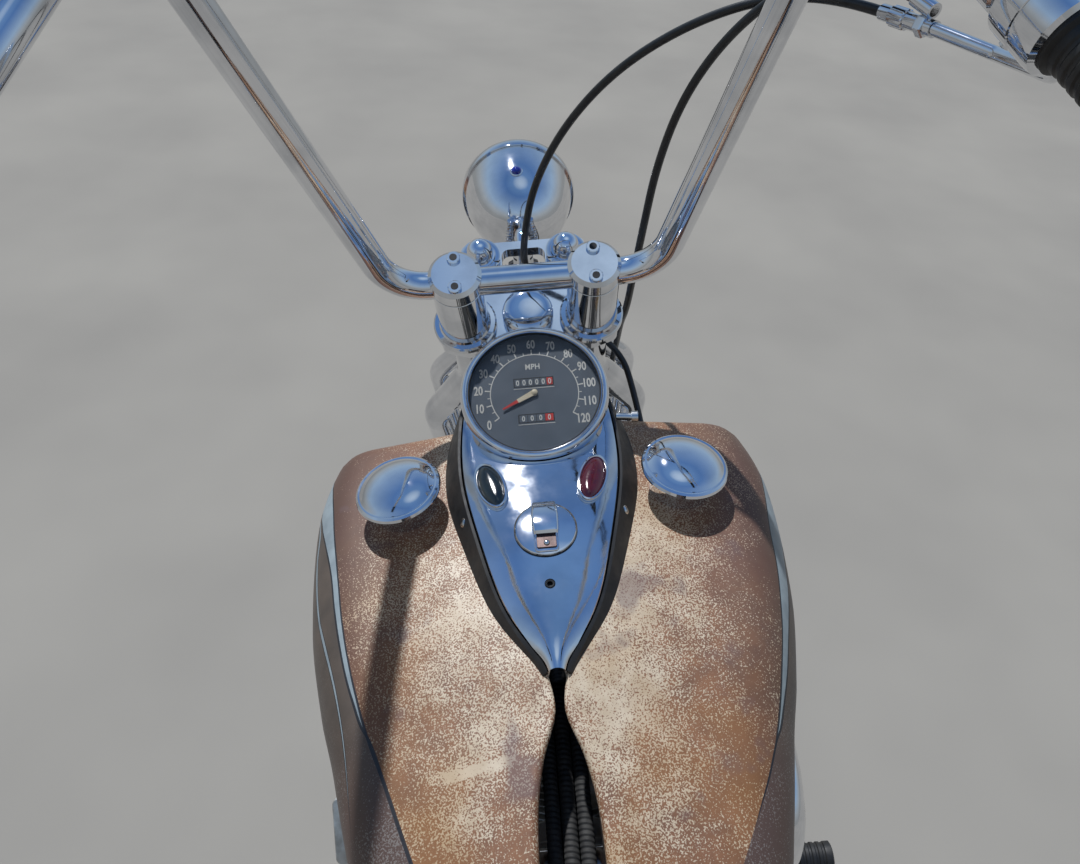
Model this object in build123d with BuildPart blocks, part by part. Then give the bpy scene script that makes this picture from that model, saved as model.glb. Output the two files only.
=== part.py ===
from build123d import *
import math
import os

# Chopper motorcycle with a rigid frame, a sprung leading-link fork and high handlebars.
# All numbers are millimetres. X points forward, Y to the rider's left, Z up.
# Every piece is drawn on the upright machine, then leaned on its side stand at the end.

os.makedirs("parts", exist_ok=True)

# Stance
LEAN = 7.0
RAKE = 30.0
STEM = (380.0, 0.0, 899.0)
PARK_SHIFT = (13.6, -91.0, 0.0)

# Wheels and tyres
FRONT_RING_R = 302.5
FRONT_CROWN_R = 46.0
REAR_RING_R = 260.0
REAR_CROWN_R = 65.0
REAR_AXLE_X = -800.0
FRONT_RIM_R = 268.0
REAR_RIM_R = 205.0
SEAT_GAP = 0.3
SPOKE_R = 2.5
SPOKE_PAIRS = 9
AXLE_R = 10.0
RUN_GAP = 0.08
HUB_BORE = AXLE_R + RUN_GAP

# Fork, in the steering frame: U forward of the stem, W up along it
AXLE_U = 60.0
TREE_THICK = 14.0
RISER_U = -5.0
RISER_Y = 62.0
RISER_R = 24.0
BAR_W = 85.0
BAR_R = 12.7
SPRING_U = 67.0
SPRING_Y = 43.0
SPRING_R = 17.0
ROD_R = 6.0
LEG_R = 16.0
SLIM_LEG_R = 12.5
SHOULDER_Y = 120.0
CROWN_W = -188.0
NECK_R = 26.0
LINK_REAR_U = -6.0
LINK_REAR_W = -640.0
LINK_FRONT_U = 28.0
LINK_FRONT_W = -646.0

# Frame
RAIL_R = 14.0
RAIL_Y = 105.0
RAIL_Z = 150.0
REAR_RAIL_Y = 125.0
BACKBONE_R = 17.0
SEAT_NODE = (-245.0, 0.0, 712.0)
POST_FOOT_X = -175.0
POST_R = 15.0
PLATE_HALF = 5.0

# Engine
CRANK = (60.0, 0.0, 290.0)
BANK_ANGLE = 22.5
CASE_R = 112.0
CASE_HALF = 72.0
DECK = 145.0
CYL_TOP = 265.0
HEAD_TOP = 330.0
ROCKER_TOP = 392.0
FIN_R = 76.0
CORE_R = 58.0
PORT_D = 300.0
PORT_Y = -45.0
PORT_REACH = 80.0
PIPE_R = 22.0

# Tanks and instruments
TANK_INNER_Y = 24.0
SPEEDO = (250.0, 0.0, 905.0)
SPEEDO_TILT = 24.7
SPEEDO_R = 65.4
CAP_R = 37.0
CAP_X = 181.0
CAP_Y = 120.0
LAMP = (588.0, 0.0, 919.0)
LAMP_R = 65.0

lean_cos = math.cos(math.radians(LEAN))
lean_tan = math.tan(math.radians(LEAN))
rake_cos = math.cos(math.radians(RAKE))
rake_sin = math.sin(math.radians(RAKE))
FRONT_AXLE_Z = FRONT_RING_R + FRONT_CROWN_R / lean_cos
REAR_AXLE_Z = REAR_RING_R + REAR_CROWN_R / lean_cos
AXLE_W = (FRONT_AXLE_Z - STEM[2] - AXLE_U * rake_sin) / rake_cos
FRONT_AXLE_X = STEM[0] + AXLE_U * rake_cos - AXLE_W * rake_sin
REAR_AXLE = (REAR_AXLE_X, 0.0, REAR_AXLE_Z)
FRONT_AXLE = (FRONT_AXLE_X, 0.0, FRONT_AXLE_Z)

STEER = Plane(origin=STEM, x_dir=(rake_cos, 0, rake_sin), z_dir=(-rake_sin, 0, rake_cos))
FRONT_HUB = Location(FRONT_AXLE)
REAR_HUB = Location(REAR_AXLE)


def steer_point(u, y, w):
    return (STEM[0] + u * rake_cos - w * rake_sin, y, STEM[2] + u * rake_sin + w * rake_cos)


def tube(points, radius, bend):
    with BuildPart(mode=Mode.PRIVATE) as pipe:
        with BuildLine() as run:
            if len(points) > 2:
                FilletPolyline(*points, radius=bend)
            else:
                Line(*points)
        with BuildSketch(Plane(origin=run.line @ 0, z_dir=run.line % 0)):
            Circle(radius)
        sweep()
    return pipe.part


def cord_tube(name, points, radius):
    runs = [Vector(b) - Vector(a) for a, b in zip(points, points[1:])]
    bends = []
    for before, after in zip(runs, runs[1:]):
        half_turn = math.radians(before.get_angle(after) / 2)
        bends.append(0.45 * min(before.length, after.length) / math.tan(half_turn))
    print(name, "bend radii", [round(bend) for bend in bends])
    with BuildPart(mode=Mode.PRIVATE) as cord:
        with BuildLine() as route:
            FilletPolyline(*points, radius=bends)
        with BuildSketch(Plane(origin=route.line @ 0, z_dir=route.line % 0)):
            Circle(radius)
        sweep()
    length = route.wires()[0].length
    print(name, "length", round(length), "volume ratio", round(cord.part.volume / (math.pi * radius ** 2 * length), 3))
    return cord.part


def mirrored(points):
    return [(x, -y, z) for x, y, z in points]


def section_plane(x):
    return Plane(origin=(x, 0, 0), x_dir=(0, 1, 0), z_dir=(1, 0, 0))


def bank_plane(side):
    angle = math.radians(BANK_ANGLE) * side
    return Plane(origin=CRANK, x_dir=(math.cos(angle), 0, -math.sin(angle)),
                 z_dir=(math.sin(angle), 0, math.cos(angle)))


pieces = {}


def tyre(ring_r, crown_r, rim_r):
    with BuildPart(mode=Mode.PRIVATE) as ring:
        with BuildSketch(Plane.XY):
            with Locations((ring_r, 0)):
                Circle(crown_r)
            Rectangle(2 * (rim_r + SEAT_GAP), 4 * crown_r, mode=Mode.SUBTRACT)
        revolve(axis=Axis.Y)
    return ring.part


def wheel(rim_r, rim_w, depth, hub_r, hub_half, flange_r):
    with BuildPart(mode=Mode.PRIVATE) as disc:
        with BuildSketch(Plane.XY):
            with BuildLine():
                Polyline((rim_r, -rim_w / 2), (rim_r, rim_w / 2), (rim_r - depth * 0.5, rim_w / 2),
                         (rim_r - depth, rim_w * 0.22), (rim_r - depth, -rim_w * 0.22),
                         (rim_r - depth * 0.5, -rim_w / 2), close=True)
            make_face()
            with BuildLine():
                Polyline((HUB_BORE, -hub_half), (hub_r, -hub_half), (flange_r, -hub_half + 6), (flange_r, -hub_half + 12),
                         (hub_r, -hub_half + 18), (hub_r, hub_half - 18), (flange_r, hub_half - 12),
                         (flange_r, hub_half - 6), (hub_r, hub_half), (HUB_BORE, hub_half),
                         close=True)
            make_face()
        revolve(axis=Axis.Y)
    turn = 360 / SPOKE_PAIRS
    spokes = []
    for side in (-1, 1):
        for lean in (-1, 1):
            start = Vector(flange_r - 5, side * (hub_half - 9), 0).rotate(Axis.Y, side * turn / 4)
            end = Vector(rim_r - depth + 2, side * 4, 0).rotate(Axis.Y, side * turn / 4 + lean * 24)
            spokes.append(tube([start, end], SPOKE_R, 0))
    laced = [spoke.rotate(Axis.Y, number * turn) for number in range(SPOKE_PAIRS) for spoke in spokes]
    return disc.part.fuse(*laced)


# Front wheel with its brake drum on the right
FRONT_HUB_HALF = 48.0
FRONT_DRUM = 7.0
with BuildPart() as front_drum:
    with BuildSketch(Plane.XZ.offset(FRONT_HUB_HALF)):
        Circle(66)
        Circle(HUB_BORE, mode=Mode.SUBTRACT)
    extrude(amount=FRONT_DRUM)
pieces["front_tyre"] = FRONT_HUB * tyre(FRONT_RING_R, FRONT_CROWN_R, FRONT_RIM_R)
pieces["front_rim"] = FRONT_HUB * (wheel(FRONT_RIM_R, 58, 16, 34, FRONT_HUB_HALF, 62) + front_drum.part)

# Rear wheel with its chain ring and brake drum
CHAIN_Y = 84.0
CHAIN_RING_R = 112.0
OUT_RING_R = 40.0
OUT_RING = (-300.0, 0.0, 300.0)
REAR_HUB_HALF = 60.0
CHAIN_RING_FACE = CHAIN_Y + 4
rear_wheel = wheel(REAR_RIM_R, 88, 20, 40, REAR_HUB_HALF, 74)
with BuildPart(mode=Mode.PRIVATE) as drum:
    with BuildSketch(Plane.XZ.offset(-60)):
        Circle(88)
        Circle(HUB_BORE, mode=Mode.SUBTRACT)
    extrude(amount=-20)
    with BuildSketch(Plane.XZ.offset(-(CHAIN_Y - 4))):
        Circle(CHAIN_RING_R)
        Circle(HUB_BORE, mode=Mode.SUBTRACT)
    extrude(amount=-8)
pieces["rear_tyre"] = REAR_HUB * tyre(REAR_RING_R, REAR_CROWN_R, REAR_RIM_R)
pieces["rear_rim"] = REAR_HUB * (rear_wheel + drum.part)

# Frame tubes
neck_low = steer_point(0, 0, CROWN_W + 16)
down_tube = [steer_point(-12, 14, CROWN_W + 78), (350, 96, 260), (285, RAIL_Y, RAIL_Z), (-330, RAIL_Y, RAIL_Z),
             (REAR_AXLE_X + 32, REAR_RAIL_Y, REAR_AXLE_Z - 8)]
backbone_knee = (250.0, 0.0, 792.0)
backbone_fall = (backbone_knee[2] - SEAT_NODE[2]) / (backbone_knee[0] - SEAT_NODE[0])


def backbone_z(x):
    return backbone_knee[2] + (x - backbone_knee[0]) * backbone_fall


# Side stand hinge: its pin leans outward, so that weight holds the leg on its forward stop
STAND = (96.0, RAIL_Y + 28.0, RAIL_Z - 26.0)
STAND_AXIS = (0.0356, 0.3774, 0.9256)
STAND_PLANE = Plane(origin=STAND, x_dir=(1, 0, -STAND_AXIS[0] / STAND_AXIS[2]), z_dir=STAND_AXIS)
seat_stay = [(-236, 22, 706), (-330, 84, 662), (-575, 122, 492),
             (REAR_AXLE_X + 32, REAR_RAIL_Y, REAR_AXLE_Z + 22)]
with BuildPart() as frame_tubes:
    with BuildSketch(STEER.offset(-TREE_THICK - 4)):
        Circle(NECK_R)
    extrude(amount=CROWN_W + 14 + TREE_THICK + 4)
    add(tube([steer_point(0, 0, -100), backbone_knee, SEAT_NODE], BACKBONE_R, 400))
    for run in (down_tube, mirrored(down_tube)):
        add(tube(run, RAIL_R, 70))
    for run in (seat_stay, mirrored(seat_stay)):
        add(tube(run, 12.5, 90))
    add(tube([SEAT_NODE, (POST_FOOT_X, 0, RAIL_Z)], POST_R, 0))
    for x, z, y in ((POST_FOOT_X, RAIL_Z, RAIL_Y), (250, RAIL_Z, RAIL_Y), (-400, 176, 109), (-490, 551, 108)):
        add(tube([(x, -y, z), (x, y, z)], 12, 0))
    for x in (200, -120):
        z = backbone_z(x)
        add(tube([(x, -TANK_INNER_Y + SEAT_GAP, z), (x, TANK_INNER_Y - SEAT_GAP, z)], 9, 0))
    for low in (-17, 10.5):
        with BuildSketch(STAND_PLANE.offset(low)):
            Circle(15)
            with Locations((0, -15)):
                Rectangle(30, 30)
        extrude(amount=6.5)
    with BuildSketch(STAND_PLANE.offset(-17)):
        with Locations((0, -26)):
            Rectangle(30, 16)
    extrude(amount=34)
    with BuildSketch(STAND_PLANE.offset(-12)):
        Circle(6)
    extrude(amount=24)
    for side in (-1, 1):
        with BuildSketch(Plane.XZ.offset(-side * REAR_RAIL_Y)):
            with Locations((REAR_AXLE_X - 4, REAR_AXLE_Z)):
                RectangleRounded(96, 60, 18)
            with Locations((REAR_AXLE_X, REAR_AXLE_Z)):
                Circle(AXLE_R + SEAT_GAP, mode=Mode.SUBTRACT)
        extrude(amount=PLATE_HALF, both=True)
pieces["frame_tubes"] = frame_tubes.part

# Rear axle with its spacers and end nuts
with BuildPart() as rear_axle:
    with Locations(Location((0, 0, 0), (90, 0, 0))):
        Cylinder(AXLE_R, 2 * (REAR_RAIL_Y + PLATE_HALF + 20))
    for side, hub_face in ((1, CHAIN_RING_FACE), (-1, REAR_HUB_HALF)):
        for low, high, reach in ((hub_face + 0.5, REAR_RAIL_Y - PLATE_HALF - SEAT_GAP, 16),
                                 (REAR_RAIL_Y + PLATE_HALF + SEAT_GAP, REAR_RAIL_Y + PLATE_HALF + 3, 19)):
            with BuildSketch(Plane.XZ.offset(-side * low)):
                Circle(reach)
            extrude(amount=-side * (high - low))
        with BuildSketch(Plane.XZ.offset(-side * (REAR_RAIL_Y + PLATE_HALF + 3))):
            RegularPolygon(17, 6)
        extrude(amount=-side * 12)
pieces["rear_axle"] = REAR_HUB * rear_axle.part

# Steering: top tree with stem, risers, bars
with BuildPart() as top_tree:
    with BuildSketch(Plane.XY):
        with BuildLine():
            Polyline((-34, -60), (-26, -86), (8, -90), (40, -66), (86, -62), (86, 62), (40, 66), (8, 90), (-26, 86),
                     (-34, 60), close=True)
        make_face()
        fillet(vertices(), 8)
        with Locations((62, 0)):
            RectangleRounded(30, 44, 8, mode=Mode.SUBTRACT)
    extrude(amount=-TREE_THICK)
    with Locations((0, 0, 0)):
        Cylinder(19, 6, align=(Align.CENTER, Align.CENTER, Align.MIN))
    with BuildSketch(Plane.XY.offset(-TREE_THICK)):
        Circle(22)
    extrude(amount=-3.5)
    with Locations((SPRING_U, SPRING_Y, -TREE_THICK), (SPRING_U, -SPRING_Y, -TREE_THICK)):
        Cylinder(20, 6, align=(Align.CENTER, Align.CENTER, Align.MAX))
    with Locations((SPRING_U, SPRING_Y, 0), (SPRING_U, -SPRING_Y, 0)):
        Cylinder(ROD_R + 0.4, 60, mode=Mode.SUBTRACT)
pieces["top_tree"] = STEER.location * top_tree.part

with BuildPart() as riser:
    with BuildSketch(Plane.XY.offset(SEAT_GAP)):
        Circle(31)
    extrude(amount=8)
    with BuildSketch(Plane.XY.offset(8)):
        Circle(RISER_R)
    extrude(amount=BAR_W + 18 - 8)
    chamfer(faces().sort_by(Axis.Z)[-1].edges(), 3)
    with Locations(Location((0, 0, BAR_W), (90, 0, 0))):
        Cylinder(BAR_R + 0.1, 80, mode=Mode.SUBTRACT)
pieces["risers"] = STEER.location * (Location((RISER_U, RISER_Y, 0)) * riser.part
                                     + Location((RISER_U, -RISER_Y, 0)) * riser.part)

bar_mid = steer_point(RISER_U, 0, BAR_W)
BAR_RUN = [(bar_mid[0], 120, bar_mid[2]), (225, 217, 1312), (-56, 307, 1190)]
bar_run = mirrored(BAR_RUN)[::-1] + BAR_RUN
pieces["handlebar"] = tube(bar_run, BAR_R, 45)

# Grips, throttle housing with its chrome elbow, brake lever
GRIP_LENGTH = 130.0
grip_dir = (Vector(BAR_RUN[2]) - Vector(BAR_RUN[1])).normalized()
bar_end = Vector(BAR_RUN[2])


def bar_plane(side, back):
    spot = bar_end - grip_dir * back
    along = Vector(grip_dir.X, side * grip_dir.Y, grip_dir.Z)
    return Plane(origin=(spot.X, side * spot.Y, spot.Z), x_dir=(0, 0, 1), z_dir=along)


def grip(side, housing):
    with BuildPart(mode=Mode.PRIVATE) as handle:
        with BuildSketch(bar_plane(side, GRIP_LENGTH)):
            Circle(17)
            Circle(BAR_R + 0.1, mode=Mode.SUBTRACT)
        extrude(amount=GRIP_LENGTH + SEAT_GAP)
        with BuildSketch(bar_plane(side, -SEAT_GAP)):
            Circle(20)
        extrude(amount=6)
        if housing:
            with BuildSketch(bar_plane(side, GRIP_LENGTH + 36)):
                Circle(24)
                Circle(BAR_R + 0.1, mode=Mode.SUBTRACT)
            extrude(amount=37)
            add(tube(ELBOW, 4, 14))
            add(tube([ELBOW[-1], ADJUSTER_END], 5.2, 0))
    return handle.part


ELBOW = [(72, -270, 1229.5), (86, -284, 1210), (146, -281, 1203), (191, -262, 1205)]
ADJUSTER_END = (236, -246, 1204)
pieces["grip_left"] = grip(1, False)
pieces["grip_right"] = grip(-1, True)

lever_root = bar_end - grip_dir * (GRIP_LENGTH + 53)
lever_tip = bar_end - grip_dir * 6
with BuildPart() as brake_lever:
    with BuildSketch(bar_plane(-1, GRIP_LENGTH + 66)):
        Circle(20)
        Circle(BAR_R + 0.1, mode=Mode.SUBTRACT)
    extrude(amount=26)
    add(tube([(lever_root.X + 8, -lever_root.Y - 14, lever_root.Z + 2),
              (lever_root.X + 34, -lever_root.Y - 34, lever_root.Z - 10),
              (lever_tip.X + 34, -lever_tip.Y - 50, lever_tip.Z - 6)], 5, 20))
pieces["brake_lever"] = brake_lever.part

# Rigid rear legs with the lower tree
rear_leg = [(RISER_U, RISER_Y, -TREE_THICK + 6), (RISER_U, RISER_Y + 3, -110), (RISER_U, SHOULDER_Y, -222),
            (RISER_U, SHOULDER_Y, -420), (LINK_REAR_U, 112, LINK_REAR_W)]
front_leg = [(SPRING_U, 68, CROWN_W), (SPRING_U - 2, SHOULDER_Y, -255), (SPRING_U - 6, SHOULDER_Y, -430),
             (LINK_FRONT_U, 112, LINK_FRONT_W)]
with BuildPart() as rear_legs:
    for run in (rear_leg, mirrored(rear_leg)):
        add(tube(run, LEG_R, 70))
    with BuildSketch(Plane.XY.offset(CROWN_W - 12)):
        with BuildLine():
            Polyline((-28, -16), (-10, -46), (-14, -104), (8, -104), (30, -40), (30, 40), (8, 104), (-14, 104),
                     (-10, 46), (-28, 16), close=True)
        make_face()
        fillet(vertices(), 6)
    extrude(amount=24)
    for side in (-1, 1):
        with Locations(Location((LINK_REAR_U, side * 112, LINK_REAR_W), (90, 0, 0))):
            Cylinder(17, 26)
            Cylinder(7.3, 50, mode=Mode.SUBTRACT)
rear_legs_local = rear_legs.part
with BuildPart() as tree_cut:
    with Locations((0, 0, -TREE_THICK - 0.3)):
        Box(300, 300, 200, align=(Align.CENTER, Align.CENTER, Align.MIN))
pieces["rear_legs"] = STEER.location * (rear_legs_local - tree_cut.part)

# Sprung front legs with their yoke
with BuildPart() as front_legs:
    for run in (front_leg, mirrored(front_leg)):
        add(tube(run, SLIM_LEG_R, 60))
    with BuildSketch(Plane.XY.offset(CROWN_W - 9)):
        with Locations((SPRING_U, 0)):
            RectangleRounded(46, 160, 18)
        with Locations((SPRING_U, SPRING_Y), (SPRING_U, -SPRING_Y)):
            Circle(ROD_R + 0.4, mode=Mode.SUBTRACT)
    extrude(amount=18)
    for side in (-1, 1):
        with Locations(Location((LINK_FRONT_U, side * 112, LINK_FRONT_W), (90, 0, 0))):
            Cylinder(15, 26)
            Cylinder(7.3, 50, mode=Mode.SUBTRACT)
pieces["front_legs"] = STEER.location * front_legs.part

# Spring rods, upper and lower springs, dome nuts
coil_top = -TREE_THICK - 6 - SEAT_GAP
coil_low = CROWN_W + 9 + SEAT_GAP
with BuildPart() as spring_set:
    with BuildSketch(Plane.XZ):
        with BuildLine():
            Polyline((0, 24), (9, 22), (13, 14), (13, 8), (18, 7), (18, SEAT_GAP), (ROD_R, SEAT_GAP), (ROD_R, coil_top),
                     (SPRING_R, coil_top), (SPRING_R, coil_low), (ROD_R, coil_low), (ROD_R, CROWN_W - 9 - SEAT_GAP),
                     (15, CROWN_W - 9 - SEAT_GAP), (15, CROWN_W - 52), (10, CROWN_W - 54), (10, CROWN_W - 66),
                     (0, CROWN_W - 66), close=True)
        make_face()
    revolve(axis=Axis.Z)
pieces["fork_springs"] = STEER.location * (Location((SPRING_U, SPRING_Y, 0)) * spring_set.part
                                           + Location((SPRING_U, -SPRING_Y, 0)) * spring_set.part)

# Leading links with the axle
with BuildPart() as links:
    for side in (-1, 1):
        with BuildSketch(Plane.XZ.offset(-side * 90)):
            with BuildLine():
                Polyline((LINK_REAR_U - 17, LINK_REAR_W + 4), (LINK_REAR_U - 4, LINK_REAR_W + 18),
                         (LINK_FRONT_U + 8, LINK_FRONT_W + 18), (AXLE_U + 20, AXLE_W + 8), (AXLE_U + 12, AXLE_W - 19),
                         (AXLE_U - 12, AXLE_W - 19), (LINK_REAR_U - 12, LINK_REAR_W - 14), close=True)
            make_face()
            fillet(vertices(), 8)
        extrude(amount=5, both=True)
        with Locations(Location((LINK_REAR_U, side * 106, LINK_REAR_W), (90, 0, 0)),
                       Location((LINK_FRONT_U, side * 106, LINK_FRONT_W), (90, 0, 0))):
            Cylinder(7, 42)
    with Locations(Location((AXLE_U, 0, AXLE_W), (90, 0, 0))):
        Cylinder(10, 226)
    for side, hub_face in ((1, FRONT_HUB_HALF), (-1, FRONT_HUB_HALF + FRONT_DRUM)):
        spacer = 85 - hub_face - 0.5
        with Locations(Location((AXLE_U, side * (85 - spacer / 2), AXLE_W), (90, 0, 0))):
            Cylinder(15, spacer)
pieces["fork_links"] = STEER.location * links.part

# Headlamp
with BuildPart() as lamp_shell:
    with BuildSketch(Plane.XZ):
        with BuildLine():
            Line((-70, 0), (-70, 2))
            ThreePointArc((-70, 2), (-52, 38), (-8, 58))
            Line((-8, 58), (14, 62))
            Line((14, 62), (14, 0))
            Line((14, 0), (-70, 0))
        make_face()
    revolve(axis=Axis.X)
    with Locations((-4, 0, -60)):
        Cylinder(11, 14)
    with BuildSketch(Plane.XZ):
        with BuildLine():
            Polyline((12, 52), (12, LAMP_R - 1), (15, LAMP_R), (26, LAMP_R), (34, 58), (34, 52), close=True)
        make_face()
    revolve(axis=Axis.X)
    with Locations((20, 0, LAMP_R)):
        Sphere(4)
with BuildPart() as lamp_lens:
    with BuildSketch(Plane.XZ):
        with BuildLine():
            Line((14 + SEAT_GAP, 0), (14 + SEAT_GAP, 51.7))
            Line((14 + SEAT_GAP, 51.7), (34, 51.7))
            ThreePointArc((34, 51.7), (42, 28), (45, 2))
            Line((45, 2), (45, 0))
            Line((45, 0), (14 + SEAT_GAP, 0))
        make_face()
    revolve(axis=Axis.X)
pieces["lamp_shell"] = Location(LAMP) * lamp_shell.part
pieces["lamp_lens"] = Location(LAMP) * lamp_lens.part
lamp_foot = (LAMP[0] - 4, 0, LAMP[2] - 70)
with BuildPart() as lamp_bracket:
    add(tube([steer_point(86 + SEAT_GAP, 0, -7), steer_point(106, 0, -7), (490, 0, 900), (500, 0, LAMP[2] - 76),
              (LAMP[0] + 6, 0, LAMP[2] - 76)], 7, 12))
    with Locations((LAMP[0] - 4, 0, LAMP[2] - 74)):
        Cylinder(12, 12)
pieces["lamp_bracket"] = lamp_bracket.part

# Fuel tanks
tank_sections = [
    (300, 52, 150, 735, 814, 26, 28),
    (272, 28, 186, 704, 838, 40, 46),
    (205, TANK_INNER_Y, 202, 692, 851, 40, 60),
    (95, TANK_INNER_Y, 196, 690, 845, 40, 60),
    (-20, TANK_INNER_Y, 172, 692, 830, 36, 54),
    (-130, TANK_INNER_Y, 141, 700, 808, 30, 42),
    (-215, TANK_INNER_Y + 2, 100, 712, 783, 18, 24),
    (-240, TANK_INNER_Y + 12, 72, 724, 768, 9, 11),
]


def tank_section(x, inner, outer, low, high, low_r, high_r, side):
    with BuildSketch(section_plane(x)) as ring:
        with BuildLine():
            Polyline((side * inner, low), (side * outer, low), (side * (outer + 2), high - 22), (side * inner, high),
                     close=True)
        make_face()
        fillet(vertices().sort_by_distance((side * outer, low, 0))[0], low_r)
        fillet(vertices().sort_by_distance((side * outer, high, 0))[0], high_r)
        fillet(vertices().sort_by_distance((side * inner, high, 0))[0], 8)
        fillet(vertices().sort_by_distance((side * inner, low, 0))[0], 8)
    return ring.sketch


def tank(side):
    with BuildPart(mode=Mode.PRIVATE) as shell:
        for row in tank_sections:
            add(tank_section(*row, side))
        loft()
    return shell.part


tank_left = tank(1)
tank_right = tank(-1)
pieces["fuel_tank_left"] = tank_left
pieces["fuel_tank_right"] = tank_right

# Fuel caps
with BuildPart() as fuel_cap:
    with BuildSketch(Plane.XZ):
        with BuildLine():
            Line((0, -24), (27, -24))
            Line((27, -24), (27, 5))
            Line((27, 5), (CAP_R - 2, 6))
            Line((CAP_R - 2, 6), (CAP_R, 9))
            Line((CAP_R, 9), (CAP_R - 2, 13))
            ThreePointArc((CAP_R - 2, 13), (20, 20), (2, 22))
            Line((2, 22), (0, 22))
            Line((0, 22), (0, -24))
        make_face()
    revolve(axis=Axis.Z)
for name, side in (("fuel_cap_left", 1), ("fuel_cap_right", -1)):
    seat = Location((CAP_X, side * CAP_Y, 857), (-side * 8, -4, 0))
    pieces[name] = (seat * fuel_cap.part) - (tank_left if side > 0 else tank_right).moved(Location((0, 0, SEAT_GAP)))

# Dash console over the tank gap, with its rubber trim
dash_sections = [
    (306, 44, 850, 880),
    (270, 74, 850, 889),
    (228, 79, 850, 882),
    (190, 78, 850, 876),
    (160, 73, 848, 873),
    (95, 55, 843, 864),
    (45, 33, 840, 854),
    (6, 8, 835, 844),
]
DASH_CROWN = 7.0
DASH_SHOULDER = 0.84
TRIM_GAP = 0.8


def dash_body(extra, lift):
    with BuildPart(mode=Mode.PRIVATE) as hull:
        for x, half, low, high in dash_sections:
            with BuildSketch(section_plane(x)):
                with BuildLine():
                    wide = half + extra
                    top = wide * DASH_SHOULDER
                    edge = high - DASH_CROWN + lift
                    Polyline((top, edge), (wide, low - 2 + lift), (wide, low - 8 + lift), (-wide, low - 8 + lift),
                             (-wide, low - 2 + lift), (-top, edge))
                    ThreePointArc((-top, edge), (0, high + lift), (top, edge))
                make_face()
        loft()
    return hull.part


face = Plane(origin=SPEEDO, x_dir=(math.cos(math.radians(SPEEDO_TILT)), 0, math.sin(math.radians(SPEEDO_TILT))),
             z_dir=(-math.sin(math.radians(SPEEDO_TILT)), 0, math.cos(math.radians(SPEEDO_TILT))))
with BuildPart() as dash_cup:
    with BuildSketch(face.offset(-8)):
        Circle(62)
    with BuildSketch(face.offset(-42)):
        Circle(54)
    loft()
with BuildPart() as meter_room:
    with BuildSketch(face.offset(-22 - SEAT_GAP)):
        Circle(56 + SEAT_GAP)
    extrude(amount=80)
    with BuildSketch(face.offset(-8)):
        Circle(SPEEDO_R + 0.8)
    extrude(amount=80)
tank_pair = tank_left.moved(Location((0, 0, SEAT_GAP))) + tank_right.moved(Location((0, 0, SEAT_GAP)))
dash = dash_body(0, 0) + dash_cup.part
WARN_LONG = 19.0
WARN_SHORT = 9.5
WARN_RIM = 3.0
SWITCH_R = 25.0
SWITCH_SEAT = Location((119, 0, 867.5), (0, -9, 0))
warn_seats = [Location((169, side * 42, 870.5), (-side * 8.5, -8, side * 30)) for side in (1, -1)]
with BuildPart() as lamp_holes:
    for seat in warn_seats:
        with BuildSketch(Plane(seat).offset(-14)):
            Ellipse(WARN_LONG + SEAT_GAP, WARN_SHORT + SEAT_GAP)
        extrude(amount=30)
    with Locations(SWITCH_SEAT):
        Cylinder(SWITCH_R + SEAT_GAP, 14)
    with Locations(Location((71, 0, 859), (0, -9, 0))):
        Cylinder(4.2, 14)
pieces["dash"] = dash - tank_pair - meter_room.part - lamp_holes.part
trim_core = dash_body(TRIM_GAP, TRIM_GAP) + dash_body(TRIM_GAP, TRIM_GAP - 5) + dash_body(TRIM_GAP, TRIM_GAP - 9)
pieces["dash_trim"] = dash_body(5, -2) - trim_core - tank_pair

# Speedometer, warning lamps, ignition switch
with BuildPart() as speedometer:
    with BuildSketch(face.offset(-22)):
        Circle(56)
    extrude(amount=16)
    with BuildSketch(face.offset(-8 + SEAT_GAP)):
        Circle(SPEEDO_R)
    extrude(amount=7)
    with BuildSketch(face.offset(-8 + SEAT_GAP + 7)):
        Circle(SPEEDO_R)
    with BuildSketch(face.offset(5)):
        Circle(SPEEDO_R - 6)
    loft()
    with BuildSketch(face.offset(-3)):
        Circle(SPEEDO_R - 7.5)
    extrude(amount=20, mode=Mode.SUBTRACT)
pieces["speedometer"] = speedometer.part
with BuildPart() as meter_glass:
    with BuildSketch(face.offset(-3 + SEAT_GAP)):
        Circle(SPEEDO_R - 7.8)
    extrude(amount=6)
pieces["meter_glass"] = meter_glass.part
with BuildPart() as warning_lamp:
    with BuildSketch(Plane.XY.offset(-12)):
        Ellipse(WARN_LONG, WARN_SHORT)
    extrude(amount=14)
    with BuildSketch(Plane.XY.offset(2)):
        Ellipse(WARN_LONG + WARN_RIM, WARN_SHORT + WARN_RIM)
    extrude(amount=3)
pieces["warning_lamps"] = warn_seats[0] * warning_lamp.part + warn_seats[1] * warning_lamp.part
with BuildPart() as ignition:
    Cylinder(SWITCH_R, 12)
    with Locations((0, 0, 6)):
        Box(48, 25, 8, align=(Align.CENTER, Align.CENTER, Align.MIN))
    chamfer(faces().sort_by(Axis.Z)[-1].edges(), 3)
pieces["ignition_switch"] = SWITCH_SEAT * ignition.part

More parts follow.
